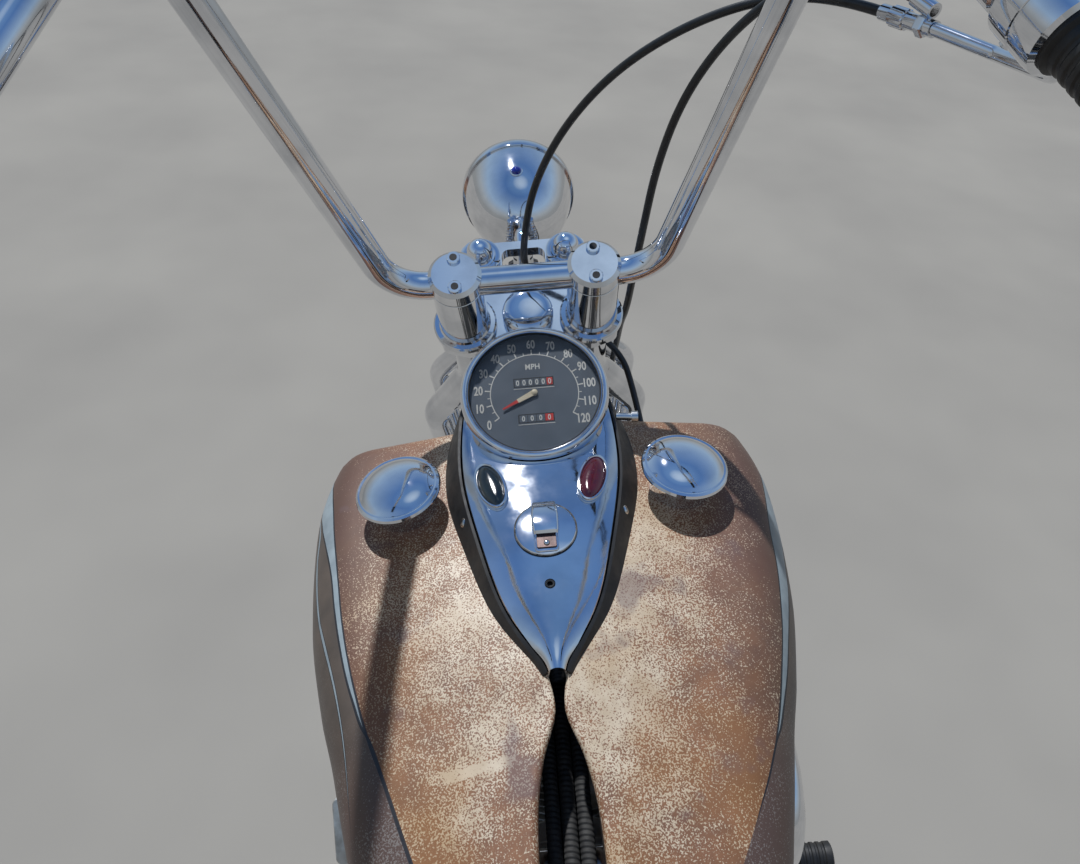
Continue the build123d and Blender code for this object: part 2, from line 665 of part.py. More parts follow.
# Engine: crankcase
with BuildPart() as crankcase:
    with BuildSketch(Plane.XZ.offset(-CASE_HALF)):
        with Locations((CRANK[0], CRANK[2])):
            Circle(CASE_R)
            Rectangle(210, 98, align=(Align.CENTER, Align.MAX))
    extrude(amount=2 * CASE_HALF)
    for side in (-1, 1):
        with BuildSketch(bank_plane(side)):
            Circle(66)
        extrude(amount=DECK - SEAT_GAP)
    for side in (-1, 1):
        with BuildSketch(bank_plane(side).offset(DECK - SEAT_GAP)):
            Circle(FIN_R)
        extrude(amount=60, mode=Mode.SUBTRACT)
    with BuildSketch(Plane.XZ.offset(-97.7)):
        with Locations((CRANK[0], CRANK[2])):
            Circle(52)
    extrude(amount=30)
    with Locations((CRANK[0] + 92, 0, RAIL_Z + RAIL_R + SEAT_GAP), (CRANK[0] - 92, 0, RAIL_Z + RAIL_R + SEAT_GAP)):
        Box(40, 2 * RAIL_Y + 16, 20, align=(Align.CENTER, Align.CENTER, Align.MIN))
pieces["crankcase"] = crankcase.part

# Engine: two finned banks with heads and rocker boxes
for name, side in (("front_bank", 1), ("rear_bank", -1)):
    with BuildPart() as bank:
        with BuildSketch(Plane.XZ):
            with BuildLine():
                fins = [(0, DECK), (CORE_R, DECK)]
                level = DECK + 8
                while level < HEAD_TOP - 10:
                    reach = FIN_R if level < CYL_TOP - 4 else FIN_R + 6
                    fins += [(CORE_R, level), (reach, level), (reach, level + 4), (CORE_R, level + 4)]
                    level += 12
                fins += [(CORE_R, HEAD_TOP), (0, HEAD_TOP)]
                Polyline(*fins, close=True)
            make_face()
        revolve(axis=Axis.Z)
        with BuildSketch(Plane.XY.offset(HEAD_TOP)):
            with Locations((-2, -10)):
                RectangleRounded(124, 176, 26)
        extrude(amount=16)
        with BuildSketch(Plane.XY.offset(HEAD_TOP + 16)):
            with Locations((-2, -10)):
                RectangleRounded(112, 164, 24)
        extrude(amount=ROCKER_TOP - HEAD_TOP - 16)
        chamfer(faces().sort_by(Axis.Z)[-1].edges(), 12)
        with Locations(Location((side * (PORT_REACH + 40) / 2, PORT_Y, PORT_D), (0, 90, 0))):
            Cylinder(30, PORT_REACH - 40)
    placed = bank_plane(side).location * bank.part
    keep = Location((CRANK[0] + side * 202, 0, CRANK[2] + 260)) * Box(400, 400, 520)
    pieces[name] = placed & keep

# Cam cover, push rod tubes, carburettor and air cleaner on the right
with BuildPart() as cam_cover:
    with BuildSketch(Plane.XZ.offset(CASE_HALF + SEAT_GAP)):
        with BuildLine():
            Polyline((-58, 300), (-30, 352), (60, 338), (150, 352), (178, 300), (150, 222), (20, 204), (-40, 240),
                     close=True)
        make_face()
        fillet(vertices(), 18)
    extrude(amount=34)
    chamfer(faces().sort_by(Axis.Y)[0].edges(), 5)
rod_feet = []
for side in (-1, 1):
    for foot, head in ((30, 74), (66, 122)):
        rod_feet.append(((CRANK[0] + side * foot, -90, 372), (CRANK[0] + side * (head + 20), -90, 596)))
with BuildPart() as push_rods:
    for foot, head in rod_feet:
        add(tube([foot, head], 8, 0))
        aim = (Vector(head) - Vector(foot)).normalized()
        add(tube([foot, Vector(foot) + aim * 26], 11.5, 0))
    for side in (-1, 1):
        with Locations(Location((CRANK[0] + side * 50, -90, 362), (0, side * BANK_ANGLE, 0))):
            Box(74, 24, 40)
pieces["cam_cover"] = (cam_cover.part + push_rods.part) - pieces["front_bank"] - pieces["rear_bank"]

MANIFOLD_Z = CRANK[2] + 288
with BuildPart() as carburettor:
    add(tube([(CRANK[0] - 34, 0, MANIFOLD_Z), (CRANK[0] + 34, 0, MANIFOLD_Z)], 20, 0))
    add(tube([(CRANK[0], 0, MANIFOLD_Z), (CRANK[0], -112, MANIFOLD_Z - 6)], 20, 0))
    with Locations((CRANK[0], -140, MANIFOLD_Z - 8)):
        Box(66, 56, 56)
    with Locations((CRANK[0], -140, MANIFOLD_Z - 52)):
        Cylinder(26, 36)
    with Locations((CRANK[0] + 26, -140, MANIFOLD_Z + 28)):
        Cylinder(7, 16)
pieces["carburettor"] = carburettor.part - pieces["front_bank"] - pieces["rear_bank"]
with BuildPart() as air_cleaner:
    with BuildSketch(Plane.XZ.offset(168 + SEAT_GAP)):
        with Locations((CRANK[0], MANIFOLD_Z - 8)):
            Circle(84)
    extrude(amount=40)
    fillet(faces().sort_by(Axis.Y)[0].edges(), 12)
pieces["air_cleaner"] = air_cleaner.part

# Primary cover, gearbox, kick lever
CLUTCH = (-255.0, 0.0, 292.0)
with BuildPart() as primary:
    with BuildSketch(Plane.XZ.offset(-98)):
        with BuildLine():
            Line((CRANK[0], CRANK[2] + 98), (CLUTCH[0], CLUTCH[2] + 116))
            ThreePointArc((CLUTCH[0], CLUTCH[2] + 116), (CLUTCH[0] - 116, CLUTCH[2]), (CLUTCH[0], CLUTCH[2] - 116))
            Line((CLUTCH[0], CLUTCH[2] - 116), (CRANK[0], CRANK[2] - 98))
            ThreePointArc((CRANK[0], CRANK[2] - 98), (CRANK[0] + 98, CRANK[2]), (CRANK[0], CRANK[2] + 98))
        make_face()
    extrude(amount=-46)
    fillet(faces().sort_by(Axis.Y)[-1].edges(), 9)
    with BuildSketch(Plane.XZ.offset(-144)):
        with Locations((CLUTCH[0], CLUTCH[2])):
            Circle(70)
    extrude(amount=-8)
pieces["primary_cover"] = primary.part
with BuildPart() as gearbox:
    with BuildSketch(Plane.XZ.offset(-70)):
        with Locations((-318, 290)):
            RectangleRounded(190, 190, 40)
    extrude(amount=140)
    with Locations((-305, 0, 385)):
        Box(140, 100, 30)
    with BuildSketch(Plane.XZ.offset(70)):
        with Locations((-320, 300)):
            Circle(72)
    extrude(amount=36)
    with BuildSketch(Plane.XZ.offset(-69)):
        with Locations((OUT_RING[0], OUT_RING[2])):
            Circle(24)
    extrude(amount=-28.5)
    with BuildSketch(Plane.XZ.offset(-(CHAIN_Y - 4))):
        with Locations((OUT_RING[0], OUT_RING[2])):
            Circle(OUT_RING_R)
    extrude(amount=-8)
    with Locations((-274, 0, RAIL_Z + RAIL_R + SEAT_GAP)):
        Box(90, 2 * RAIL_Y + 12, 10, align=(Align.CENTER, Align.CENTER, Align.MIN))
        Box(100, 130, 34, align=(Align.CENTER, Align.CENTER, Align.MIN))
pieces["gearbox"] = gearbox.part
KICK = (-352.0, -106.0, 330.0)
with BuildPart() as kick_lever:
    add(tube([(KICK[0], -106 - SEAT_GAP, KICK[2]), (KICK[0], -150, KICK[2])], 11, 0))
    add(tube([(KICK[0], -142, KICK[2]), (KICK[0] - 20, -190, KICK[2] + 70), (KICK[0] + 24, -196, KICK[2] + 230)], 8, 20))
    add(tube([(KICK[0] + 24, -190, KICK[2] + 228), (KICK[0] + 24, -262, KICK[2] + 228)], 13, 0))
pieces["kick_lever"] = kick_lever.part

# Exhaust pipes on the right
def port_point(side, reach):
    return tuple(bank_plane(side).from_local_coords(Vector(side * (PORT_REACH + reach), PORT_Y, PORT_D)))


exhaust_runs = {
    "exhaust_front": [port_point(1, SEAT_GAP), port_point(1, 58), (334, -118, 440), (330, -162, 330), (312, -165, 194),
                      (-860, -165, 190)],
    "exhaust_rear": [port_point(-1, SEAT_GAP), port_point(-1, 42), (-196, -120, 450), (-214, -165, 352),
                     (-262, -168, 254), (-900, -168, 250)],
}
for name, run in exhaust_runs.items():
    with BuildPart() as pipe:
        tail = run[-1]
        add(tube(run[:-1] + [(tail[0] + 360, tail[1], tail[2])], PIPE_R, 34))
        with BuildSketch(Plane(origin=tail, x_dir=(0, 1, 0), z_dir=(1, 0, 0))):
            Circle(PIPE_R + 6)
        extrude(amount=420)
        with BuildSketch(Plane(origin=tail, x_dir=(0, 1, 0), z_dir=(1, 0, 0))):
            Circle(PIPE_R)
        extrude(amount=300, mode=Mode.SUBTRACT)
        with BuildSketch(Plane(origin=run[0], z_dir=Vector(run[1]) - Vector(run[0]))):
            Circle(PIPE_R + 6)
        extrude(amount=10)
    pieces[name] = pipe.part

# Oil tank, saddle, rear fender, tail lamp
with BuildPart() as oil_tank:
    with BuildSketch(Plane.XY.offset(412)):
        with Locations((-342, 0)):
            RectangleRounded(140, 236, 36)
    extrude(amount=152)
    with Locations((-310, 74, 564)):
        Cylinder(22, 24, align=(Align.CENTER, Align.CENTER, Align.MIN))
    post_back = SEAT_NODE[0] + (SEAT_NODE[2] - 550) / (SEAT_NODE[2] - RAIL_Z) * (POST_FOOT_X - SEAT_NODE[0]) - POST_R * 1.008
    with Locations((post_back - SEAT_GAP, 0, 540)):
        Box(60, 30, 20, align=(Align.MAX, Align.CENTER, Align.CENTER))
pieces["oil_tank"] = oil_tank.part

saddle_sections = [
    (-252, 38, 752, 778),
    (-292, 56, 748, 785),
    (-372, 96, 742, 782),
    (-462, 146, 740, 792),
    (-530, 142, 742, 812),
    (-566, 96, 750, 808),
]
with BuildPart() as saddle:
    for x, half, low, high in saddle_sections:
        with BuildSketch(section_plane(x)):
            with BuildLine():
                ThreePointArc((-half, (low + high) / 2), (0, high), (half, (low + high) / 2))
                ThreePointArc((half, (low + high) / 2), (0, low), (-half, (low + high) / 2))
            make_face()
    loft()
pieces["saddle"] = saddle.part
with BuildPart() as saddle_pan:
    add(tube([(-272, 0, 705), (-272, 0, 750)], 12, 0))
    with Locations((-350, 0, 737)):
        Box(180, 60, 5)
    with Locations((-478, 0, 737)):
        Box(120, 220, 5)
    for side in (-1, 1):
        with Locations((-470, side * 88, 738)):
            Cylinder(24, 172, align=(Align.CENTER, Align.CENTER, Align.MAX))
pieces["saddle_pan"] = (saddle_pan.part - pieces["saddle"].moved(Location((0, 0, -SEAT_GAP)))) - pieces["frame_tubes"]

FENDER_START = 28.0
FENDER_ARC = 132.0
with BuildPart() as fender_skin:
    with BuildSketch(Plane.XY):
        with BuildLine():
            Polyline((306, -84), (336, -84), (352, -66), (356, 0), (352, 66), (336, 84), (306, 84), (306, 80),
                     (334, 80), (348, 64), (352, 0), (348, -64), (334, -80), (306, -80), close=True)
        make_face()
    revolve(axis=Axis((0, 0, 0), (0, -1, 0)), revolution_arc=FENDER_ARC)
fender = REAR_HUB * fender_skin.part.rotate(Axis.Y, -FENDER_START)
with BuildPart() as fender_stays:
    for side in (-1, 1):
        add(tube([(REAR_AXLE_X - 40, side * 136, REAR_AXLE_Z + 12), (REAR_AXLE_X - 96, side * 112, 520),
                  (REAR_AXLE_X - 130, side * 88, 622)], 7, 60))
        add(tube([(REAR_AXLE_X - 30, side * 124, REAR_AXLE_Z + 12), (REAR_AXLE_X - 30, side * 143, REAR_AXLE_Z + 12)],
                 9, 0))
    add(tube([(-490, 0, 551), (-516, 0, 533)], 9, 0))
pieces["rear_fender"] = (fender + fender_stays.part) - pieces["frame_tubes"]
LAMP_ANGLE = math.radians(146)
tail_spot = (REAR_AXLE_X + 356 * math.cos(LAMP_ANGLE), 0, REAR_AXLE_Z + 356 * math.sin(LAMP_ANGLE))
with BuildPart() as tail_lamp:
    with BuildSketch(Plane(origin=tail_spot, x_dir=(0, 1, 0), z_dir=(-1, 0, 0.1))):
        Circle(38)
    extrude(amount=44)
    with BuildSketch(Plane(origin=tail_spot, x_dir=(0, 1, 0), z_dir=(-1, 0, 0.1))):
        Rectangle(44, 50)
    extrude(amount=-30)
fender_core = REAR_HUB * Location((0, 0, 0), (90, 0, 0)) * Cylinder(356 + SEAT_GAP, 300)
pieces["tail_lamp"] = tail_lamp.part - fender_core

# Drive chain on the left
with BuildPart() as chain:
    for grow in (6, -5):
        with BuildSketch(Plane.XZ.offset(-(CHAIN_Y - 5))):
            with Locations((OUT_RING[0], OUT_RING[2])):
                Circle(OUT_RING_R + 6 + grow)
            with Locations((REAR_AXLE_X, REAR_AXLE_Z)):
                Circle(CHAIN_RING_R + 6 + grow)
            make_hull()
        extrude(amount=-10, mode=Mode.ADD if grow > 0 else Mode.SUBTRACT)
pieces["drive_chain"] = chain.part

# Foot controls
PEG_Z = 244.0
with BuildPart() as pegs:
    for side in (-1, 1):
        add(tube([(128, side * (RAIL_Y + RAIL_R - 3), RAIL_Z), (128, side * 206, RAIL_Z), (122, side * 206, PEG_Z)], 9, 24))
        add(tube([(122, side * 192, PEG_Z), (118, side * 318, PEG_Z + 4)], 17, 0))
pieces["foot_pegs"] = pegs.part - pieces["frame_tubes"]
with BuildPart() as brake_pedal:
    with Locations(Location((46, -(RAIL_Y + RAIL_R + 12 + SEAT_GAP), RAIL_Z + 2), (90, 0, 0))):
        Cylinder(14, 24)
    add(tube([(46, -136, RAIL_Z + 2), (120, -228, 168), (196, -262, 226)], 8, 30))
    with Locations(Location((204, -262, 246), (0, -48, 0))):
        Box(62, 84, 14)
pieces["brake_pedal"] = brake_pedal.part
with BuildPart() as clutch_pedal:
    with Locations(Location((46, RAIL_Y + RAIL_R + 12 + SEAT_GAP, RAIL_Z + 2), (90, 0, 0))):
        Cylinder(14, 24)
    add(tube([(46, 136, RAIL_Z + 2), (110, 236, 162), (190, 262, 226)], 8, 30))
    with Locations(Location((204, 266, 246), (0, -48, 0))):
        Box(86, 78, 10)
pieces["clutch_pedal"] = clutch_pedal.part
with BuildPart() as hand_shift:
    add(tube([(-248, 36, 401), (-248, 40, 440), (-232, 158, 486), (-196, 196, 640)], 7, 24))
    with Locations((-195, 197, 650)):
        Sphere(21)
pieces["hand_shift"] = hand_shift.part

# Side stand on the left, foot on the ground of the leaned machine
FOOT_Y = 292.0
FOOT_X = 214.0
foot_z = FOOT_Y * lean_tan
with BuildPart() as side_stand:
    with BuildSketch(STAND_PLANE.offset(-10)):
        Circle(14)
    extrude(amount=20)
    add(tube([STAND, (FOOT_X, FOOT_Y, foot_z + 12)], 9, 0))
    with BuildSketch(STAND_PLANE.offset(-60)):
        Circle(6.2)
    extrude(amount=120, mode=Mode.SUBTRACT)
    with BuildSketch(Plane(origin=(FOOT_X + 8, FOOT_Y, foot_z), x_dir=(1, 0, 0),
                           z_dir=(0, -math.sin(math.radians(LEAN)), math.cos(math.radians(LEAN))))):
        RectangleRounded(74, 44, 12)
    extrude(amount=8)
pieces["side_stand"] = side_stand.part

# Front brake plate on the right side of the front hub
with BuildPart() as brake_plate:
    with BuildSketch(Plane.XZ.offset(60)):
        Circle(58)
        Circle(15.3, mode=Mode.SUBTRACT)
    extrude(amount=7)
brake_socket = STEER.location * Location((AXLE_U - 8, -70, AXLE_W + 50)) * Box(20, 16, 40)
pieces["brake_plate"] = (FRONT_HUB * brake_plate.part) + brake_socket

# Control cables and the wiring in the tank gap
CABLE_R = 3.5
CABLE_SEAT = 1.3
BRAKE_CABLE = [(196, -262, 1214), (230, -250, 1222), (268, -229, 1222), (298, -197, 1206), (316, -162, 1170),
               (328, -134, 1122), (338, -117, 1064), (348, -108, 1002), (366, -102, 944), (394, -99.5, 890),
               steer_point(20, -98, -70), steer_point(30, -99, -140), steer_point(34, -96, -220),
               steer_point(31, -92, -305), steer_point(27, -91, -395), steer_point(24, -87, -480),
               steer_point(31, -80, -530), steer_point(44, -73, -568), steer_point(AXLE_U - 8, -70, AXLE_W + 70 + CABLE_SEAT)]
pieces["brake_cable"] = cord_tube("brake cable", BRAKE_CABLE, CABLE_R)
THROTTLE_CABLE = [(237, -245, 1204), (278, -227, 1204), (316, -188, 1196), (345, -136, 1172), (368, -84, 1134),
                  (388, -42, 1082), (404, -14, 1024), (414, -2, 968), steer_point(60, 0, -5),
                  steer_point(51, -12, -50), steer_point(41, -38, -80), steer_point(28, -74, -104),
                  steer_point(2, -102, -121), steer_point(-30, -110, -134), (384, -116, 738), (336, -119, 708),
                  (278, -119, 688), (216, -122, 678), (162, -128, 676), (126, -134, 669), (103, -138, 654),
                  (90, -140, 634), (86, -140, MANIFOLD_Z + 36 + CABLE_SEAT)]
pieces["throttle_cable"] = cord_tube("throttle cable", THROTTLE_CABLE, CABLE_R)
LOOM_R = 5.5
with BuildPart() as loom:
    for lane in (-2 * LOOM_R - 0.5, 0, 2 * LOOM_R + 0.5):
        rise = math.sqrt((BACKBONE_R + LOOM_R + SEAT_GAP) ** 2 - lane ** 2) * 1.013
        add(tube([(x, lane, backbone_z(x) + rise) for x in (90, -225)], LOOM_R, 0))
pieces["wiring_loom"] = loom.part

# Hand-in: lean every piece and write it out
parked_pose = Location(PARK_SHIFT, (-LEAN, 0, 0))
parked_all = []
for name, piece in pieces.items():
    parked = parked_pose * piece
    parked.label = name
    export_step(parked, f"parts/{name}.step")
    parked_all.append(parked)
whole = Compound(children=parked_all).bounding_box()
print("overall", [round(v, 1) for v in (*whole.min, *whole.max)])
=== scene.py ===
import math

import bmesh
import bpy
from mathutils import Matrix, Vector


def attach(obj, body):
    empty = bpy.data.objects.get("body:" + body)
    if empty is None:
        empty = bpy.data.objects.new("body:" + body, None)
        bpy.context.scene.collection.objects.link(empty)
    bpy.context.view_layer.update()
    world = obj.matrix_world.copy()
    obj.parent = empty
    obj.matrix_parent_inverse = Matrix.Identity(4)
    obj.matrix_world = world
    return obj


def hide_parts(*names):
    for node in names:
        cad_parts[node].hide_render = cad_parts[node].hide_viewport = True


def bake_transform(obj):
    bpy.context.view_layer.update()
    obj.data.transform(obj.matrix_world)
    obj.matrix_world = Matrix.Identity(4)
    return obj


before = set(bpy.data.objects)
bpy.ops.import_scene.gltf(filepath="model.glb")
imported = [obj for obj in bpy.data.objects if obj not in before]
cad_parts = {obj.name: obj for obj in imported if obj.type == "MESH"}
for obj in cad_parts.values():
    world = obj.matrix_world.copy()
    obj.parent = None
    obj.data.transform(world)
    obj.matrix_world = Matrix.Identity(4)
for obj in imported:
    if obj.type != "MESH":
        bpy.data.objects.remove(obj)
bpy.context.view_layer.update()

bl_info = {
    "name": "Chopper motorcycle",
    "version": (1, 0, 0),
    "blender": (4, 5, 0),
    "location": "3D View > Sidebar > Chopper",
    "description": "Dresses the chopper motorcycle: paint, chrome, wheels, engine, saddle and cables",
    "category": "Object",
}

# Places are written in millimetres on the upright machine. PARK leans them onto the side stand, in metres.
MM = 0.001
LEAN = math.radians(7.0)
RAKE = math.radians(30.0)
STEM = (380.0, 0.0, 899.0)
PARK = Matrix.Translation((0.0136, -0.091, 0.0)) @ Matrix.Rotation(-LEAN, 4, "X") @ Matrix.Scale(MM, 4)
STEER = PARK @ Matrix.Translation(STEM) @ Matrix.Rotation(-RAKE, 4, "Y")
LOOSE = Matrix.Scale(MM, 4)
FRONT_AXLE = (766.9, 0.0, 348.85)
REAR_AXLE = (-800.0, 0.0, 325.49)
FACE = PARK @ Matrix.Translation((250.0, 0.0, 905.0)) @ Matrix.Rotation(-math.radians(24.7), 4, "Y")


def place(base, origin=(0, 0, 0), aim=(0, 0, 1), hint=(1, 0, 0)):
    """A frame in base at origin, its Z along aim and its X as near hint as it can be."""
    z = Vector(aim).normalized()
    x = Vector(hint) - z * z.dot(Vector(hint))
    if x.length < 1e-4:
        x = Vector((0, 1, 0)) - z * z.y
    x.normalize()
    turned = Matrix((x, z.cross(x), z)).transposed().to_4x4()
    return base @ Matrix.Translation(origin) @ turned


def shift(base, x, y, z):
    """The frame moved along its own axes."""
    return base @ Matrix.Translation((x, y, z))


def spin(base, degrees, axis="Z"):
    """The frame turned about one of its own axes."""
    return base @ Matrix.Rotation(math.radians(degrees), 4, axis)


def lift(frame_at, ring, height):
    """A flat outline as points at a height in a frame."""
    return [frame_at @ Vector((p.x, p.y, height)) for p in ring]


def steer_point(u, y, w):
    """A place in the steering frame (u ahead of the stem, w up along it) on the upright machine."""
    return (STEM[0] + u * math.cos(RAKE) - w * math.sin(RAKE), y, STEM[2] + u * math.sin(RAKE) + w * math.cos(RAKE))


def mirrored(points):
    """The same places on the other side of the machine."""
    return [(x, -y, z) for x, y, z in points]


def rounded(points, bend, step=7.0):
    """The points of a path whose corners are arcs of radius bend."""
    points = [Vector(p) for p in points]
    path = [points[0]]
    for before, corner, after in zip(points, points[1:], points[2:]):
        a, b = (before - corner).normalized(), (after - corner).normalized()
        turn = math.pi - a.angle(b)
        if turn < 0.01 or bend <= 0:
            path.append(corner)
            continue
        reach = bend * math.tan(turn / 2)
        centre = corner + (a + b).normalized() * (bend / math.cos(turn / 2))
        start, end = corner + a * reach - centre, corner + b * reach - centre
        axis = start.cross(end).normalized()
        count = max(2, int(math.degrees(turn) / step))
        for index in range(count + 1):
            path.append(centre + Matrix.Rotation(turn * index / count, 3, axis) @ start)
    path.append(points[-1])
    return path


def outline(corners, steps=6):
    """A closed outline from (x, y, radius) corners."""
    ring = []
    total = len(corners)
    for index, (x, y, radius) in enumerate(corners):
        corner = Vector((x, y))
        before = Vector(corners[index - 1][:2]) - corner
        after = Vector(corners[(index + 1) % total][:2]) - corner
        if radius <= 0:
            ring.append(corner)
            continue
        a, b = before.normalized(), after.normalized()
        angle = a.angle(b)
        reach = min(radius / math.tan(angle / 2), before.length * 0.49, after.length * 0.49)
        size = reach * math.tan(angle / 2)
        centre = corner + (a + b).normalized() * (size / math.sin(angle / 2))
        start, end = corner + a * reach - centre, corner + b * reach - centre
        sweep = math.atan2(start.x * end.y - start.y * end.x, start.dot(end))
        for step in range(steps + 1):
            turn = sweep * step / steps
            ring.append(centre + Vector((start.x * math.cos(turn) - start.y * math.sin(turn),
                                         start.x * math.sin(turn) + start.y * math.cos(turn))))
    return ring


def box_outline(width, depth, radius, steps=5):
    """A rectangle about the origin with round corners."""
    w, d = width / 2, depth / 2
    return outline([(w, d, radius), (-w, d, radius), (-w, -d, radius), (w, -d, radius)], steps)


def polygon(radius, sides):
    """A regular polygon about the origin."""
    return [Vector((radius * math.cos(2 * math.pi * i / sides), radius * math.sin(2 * math.pi * i / sides)))
            for i in range(sides)]


def inset(ring, amount):
    """The outline moved inward by amount."""
    area = sum(a.x * b.y - a.y * b.x for a, b in zip(ring, ring[1:] + ring[:1]))
    side = 1 if area > 0 else -1
    moved = []
    for index, point in enumerate(ring):
        a = (point - ring[index - 1]).normalized()
        b = (ring[(index + 1) % len(ring)] - point).normalized()
        n = Vector((-a.y - b.y, a.x + b.x)) * side
        slack = math.sqrt(max(1.0, n.length_squared / 2))
        moved.append(point + n.normalized() * amount / slack if n.length > 1e-6 else point.copy())
    return moved


def symmetric(half):
    """A lathe profile with its mirror image, from low to high."""
    return [(radius, -height) for radius, height in half] + half[::-1]


def grooves(start, end, pitch, outer, inner, edge, width):
    """The profile points of a row of grooves round a rubber."""
    points = []
    height = start
    while height < end:
        points += [(outer, height), (inner, height + edge), (inner, height + width - edge), (outer, height + width)]
        height += pitch
    return points


class Shape:
    """A mesh under construction. Every method adds a closed shell, with finish number mat."""

    def __init__(self):
        self.bm = bmesh.new()

    def rings(self, rings, mat=0, closed=False, caps=True):
        built = [[self.bm.verts.new(p) for p in ring] for ring in rings]
        pairs = list(zip(built, built[1:]))
        if closed:
            pairs.append((built[-1], built[0]))
        faces = []
        for low, high in pairs:
            count = max(len(low), len(high))
            for i in range(count):
                j = (i + 1) % count
                quad = [low[i % len(low)], low[j % len(low)], high[j % len(high)], high[i % len(high)]]
                faces.append(list(dict.fromkeys(quad)))
        if caps and not closed:
            faces += [built[0], built[-1]]
        for corners in faces:
            if len(corners) > 2:
                self.bm.faces.new(corners).material_index = mat
        return built

    def lathe(self, frame_at, profile, mat=0, steps=48, closed=False):
        """Turns (radius, height) points round the frame's Z. A closed profile makes a ring."""
        rows = [lift(frame_at, polygon(radius, steps if radius > 1e-6 else 1), height) for radius, height in profile]
        self.rings(rows, mat, closed)

    def tube(self, base, points, radius, mat=0, bend=0.0, steps=16, step=7.0, ends=(1.0, 1.0)):
        """Sweeps a circle along a path. ends scales the radius from the first point to the last."""
        path = [base @ p for p in (rounded(points, bend, step) if bend else [Vector(p) for p in points])]
        scale = base.to_scale().x
        total = sum((b - a).length for a, b in zip(path, path[1:]))
        tangents = []
        for i, point in enumerate(path):
            ahead = (path[i + 1] - point).normalized() if i + 1 < len(path) else Vector()
            behind = (point - path[i - 1]).normalized() if i else Vector()
            tangents.append((ahead + behind).normalized())
        side = tangents[0].orthogonal().normalized()
        rows, gone = [], 0.0
        for i, point in enumerate(path):
            side = (side - tangents[i] * side.dot(tangents[i])).normalized()
            other = tangents[i].cross(side)
            size = radius * scale * (ends[0] + (ends[1] - ends[0]) * gone / max(total, 1e-9))
            rows.append([point + (side * p.x + other * p.y) * size for p in polygon(1.0, steps)])
            if i + 1 < len(path):
                gone += (path[i + 1] - point).length
        self.rings(rows, mat)

    def prism(self, frame_at, ring, low, high, mat=0, chamfer=0.0):
        """Extrudes an outline along the frame's Z, with its edges eased by chamfer."""
        levels = [(low, 0), (high, 0)]
        if chamfer:
            levels = [(low, chamfer), (low + chamfer, 0), (high - chamfer, 0), (high, chamfer)]
        self.rings([lift(frame_at, inset(ring, amount) if amount else ring, height) for height, amount in levels], mat)

    def take(self, mesh, mat=0, matrix=None):
        """Adds a finished mesh, moved by matrix."""
        if matrix is not None:
            mesh.transform(matrix)
        before = len(self.bm.faces)
        self.bm.from_mesh(mesh)
        self.bm.faces.ensure_lookup_table()
        for face in self.bm.faces[before:]:
            face.material_index = mat
        bpy.data.meshes.remove(mesh)

    def repeat(self, places, piece, mat=0, finish="chrome"):
        """Adds the piece at each of the places, which are frames."""
        self.take(repeat(places, piece, finish), mat)

    def add_coil(self, frame_at, turns, radius, height, wire):
        """Adds a coil spring that stands on the frame, with its sizes in metres."""
        self.take(coil(turns, radius, height, wire), 0, frame_at @ Matrix.Scale(1 / MM, 4))

    def mesh(self, name, angle=35.0):
        mesh = bpy.data.meshes.new(name)
        bmesh.ops.remove_doubles(self.bm, verts=self.bm.verts, dist=1e-6)
        bmesh.ops.recalc_face_normals(self.bm, faces=self.bm.faces)
        self.bm.to_mesh(mesh)
        self.bm.free()
        mesh.polygons.foreach_set("use_smooth", [True] * len(mesh.polygons))
        mesh.set_sharp_from_angle(angle=math.radians(angle))
        return mesh


def look(name):
    """The detailed material of a finish."""
    return bpy.data.materials[name + "_finish"]


def new_object(name, data):
    """An object in the scene that shows data."""
    obj = bpy.data.objects.new(name, data)
    bpy.context.scene.collection.objects.link(obj)
    return obj


def dress(name, shape, finishes, body, stands_for=()):
    """Turns a shape into a piece of the machine: its finishes, the body it rides on and the nodes it stands for."""
    mesh = shape.mesh(name)
    obj = new_object(name, mesh)
    for finish in finishes:
        mesh.materials.append(look(finish))
    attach(obj, body)
    if stands_for:
        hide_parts(*stands_for)


def paint(node, finish):
    """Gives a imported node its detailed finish."""
    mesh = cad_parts[node].data
    mesh.materials.clear()
    mesh.materials.append(look(finish))


# Geometry node trees


def add_node(tree, kind, inputs=None, **settings):
    """A node with its inputs linked or set, and its settings."""
    node = tree.nodes.new(kind)
    for key, value in settings.items():
        setattr(node, key, value)
    for key, value in (inputs or {}).items():
        if isinstance(value, bpy.types.NodeSocket):
            tree.links.new(value, node.inputs[key])
        else:
            node.inputs[key].default_value = value
    return node


def new_tree(name, **sockets):
    """An empty Geometry Nodes tree with geometry in and out and the named inputs, and its input node."""
    tree = bpy.data.node_groups.new(name, "GeometryNodeTree")
    tree.interface.new_socket("Geometry", in_out="INPUT", socket_type="NodeSocketGeometry")
    for label, kind in sockets.items():
        tree.interface.new_socket(label, in_out="INPUT", socket_type="NodeSocket" + kind)
    tree.interface.new_socket("Geometry", in_out="OUTPUT", socket_type="NodeSocketGeometry")
    return tree, tree.nodes.new("NodeGroupInput").outputs


def close_tree(tree, start, geometry):
    """Ends a tree: real meshes in the finish that is asked for."""
    real = add_node(tree, "GeometryNodeRealizeInstances", {"Geometry": geometry})
    painted = add_node(tree, "GeometryNodeSetMaterial", {
        "Geometry": real.outputs["Geometry"], "Material": start["Finish"]})
    add_node(tree, "NodeGroupOutput", {"Geometry": painted.outputs["Geometry"]})
    return tree


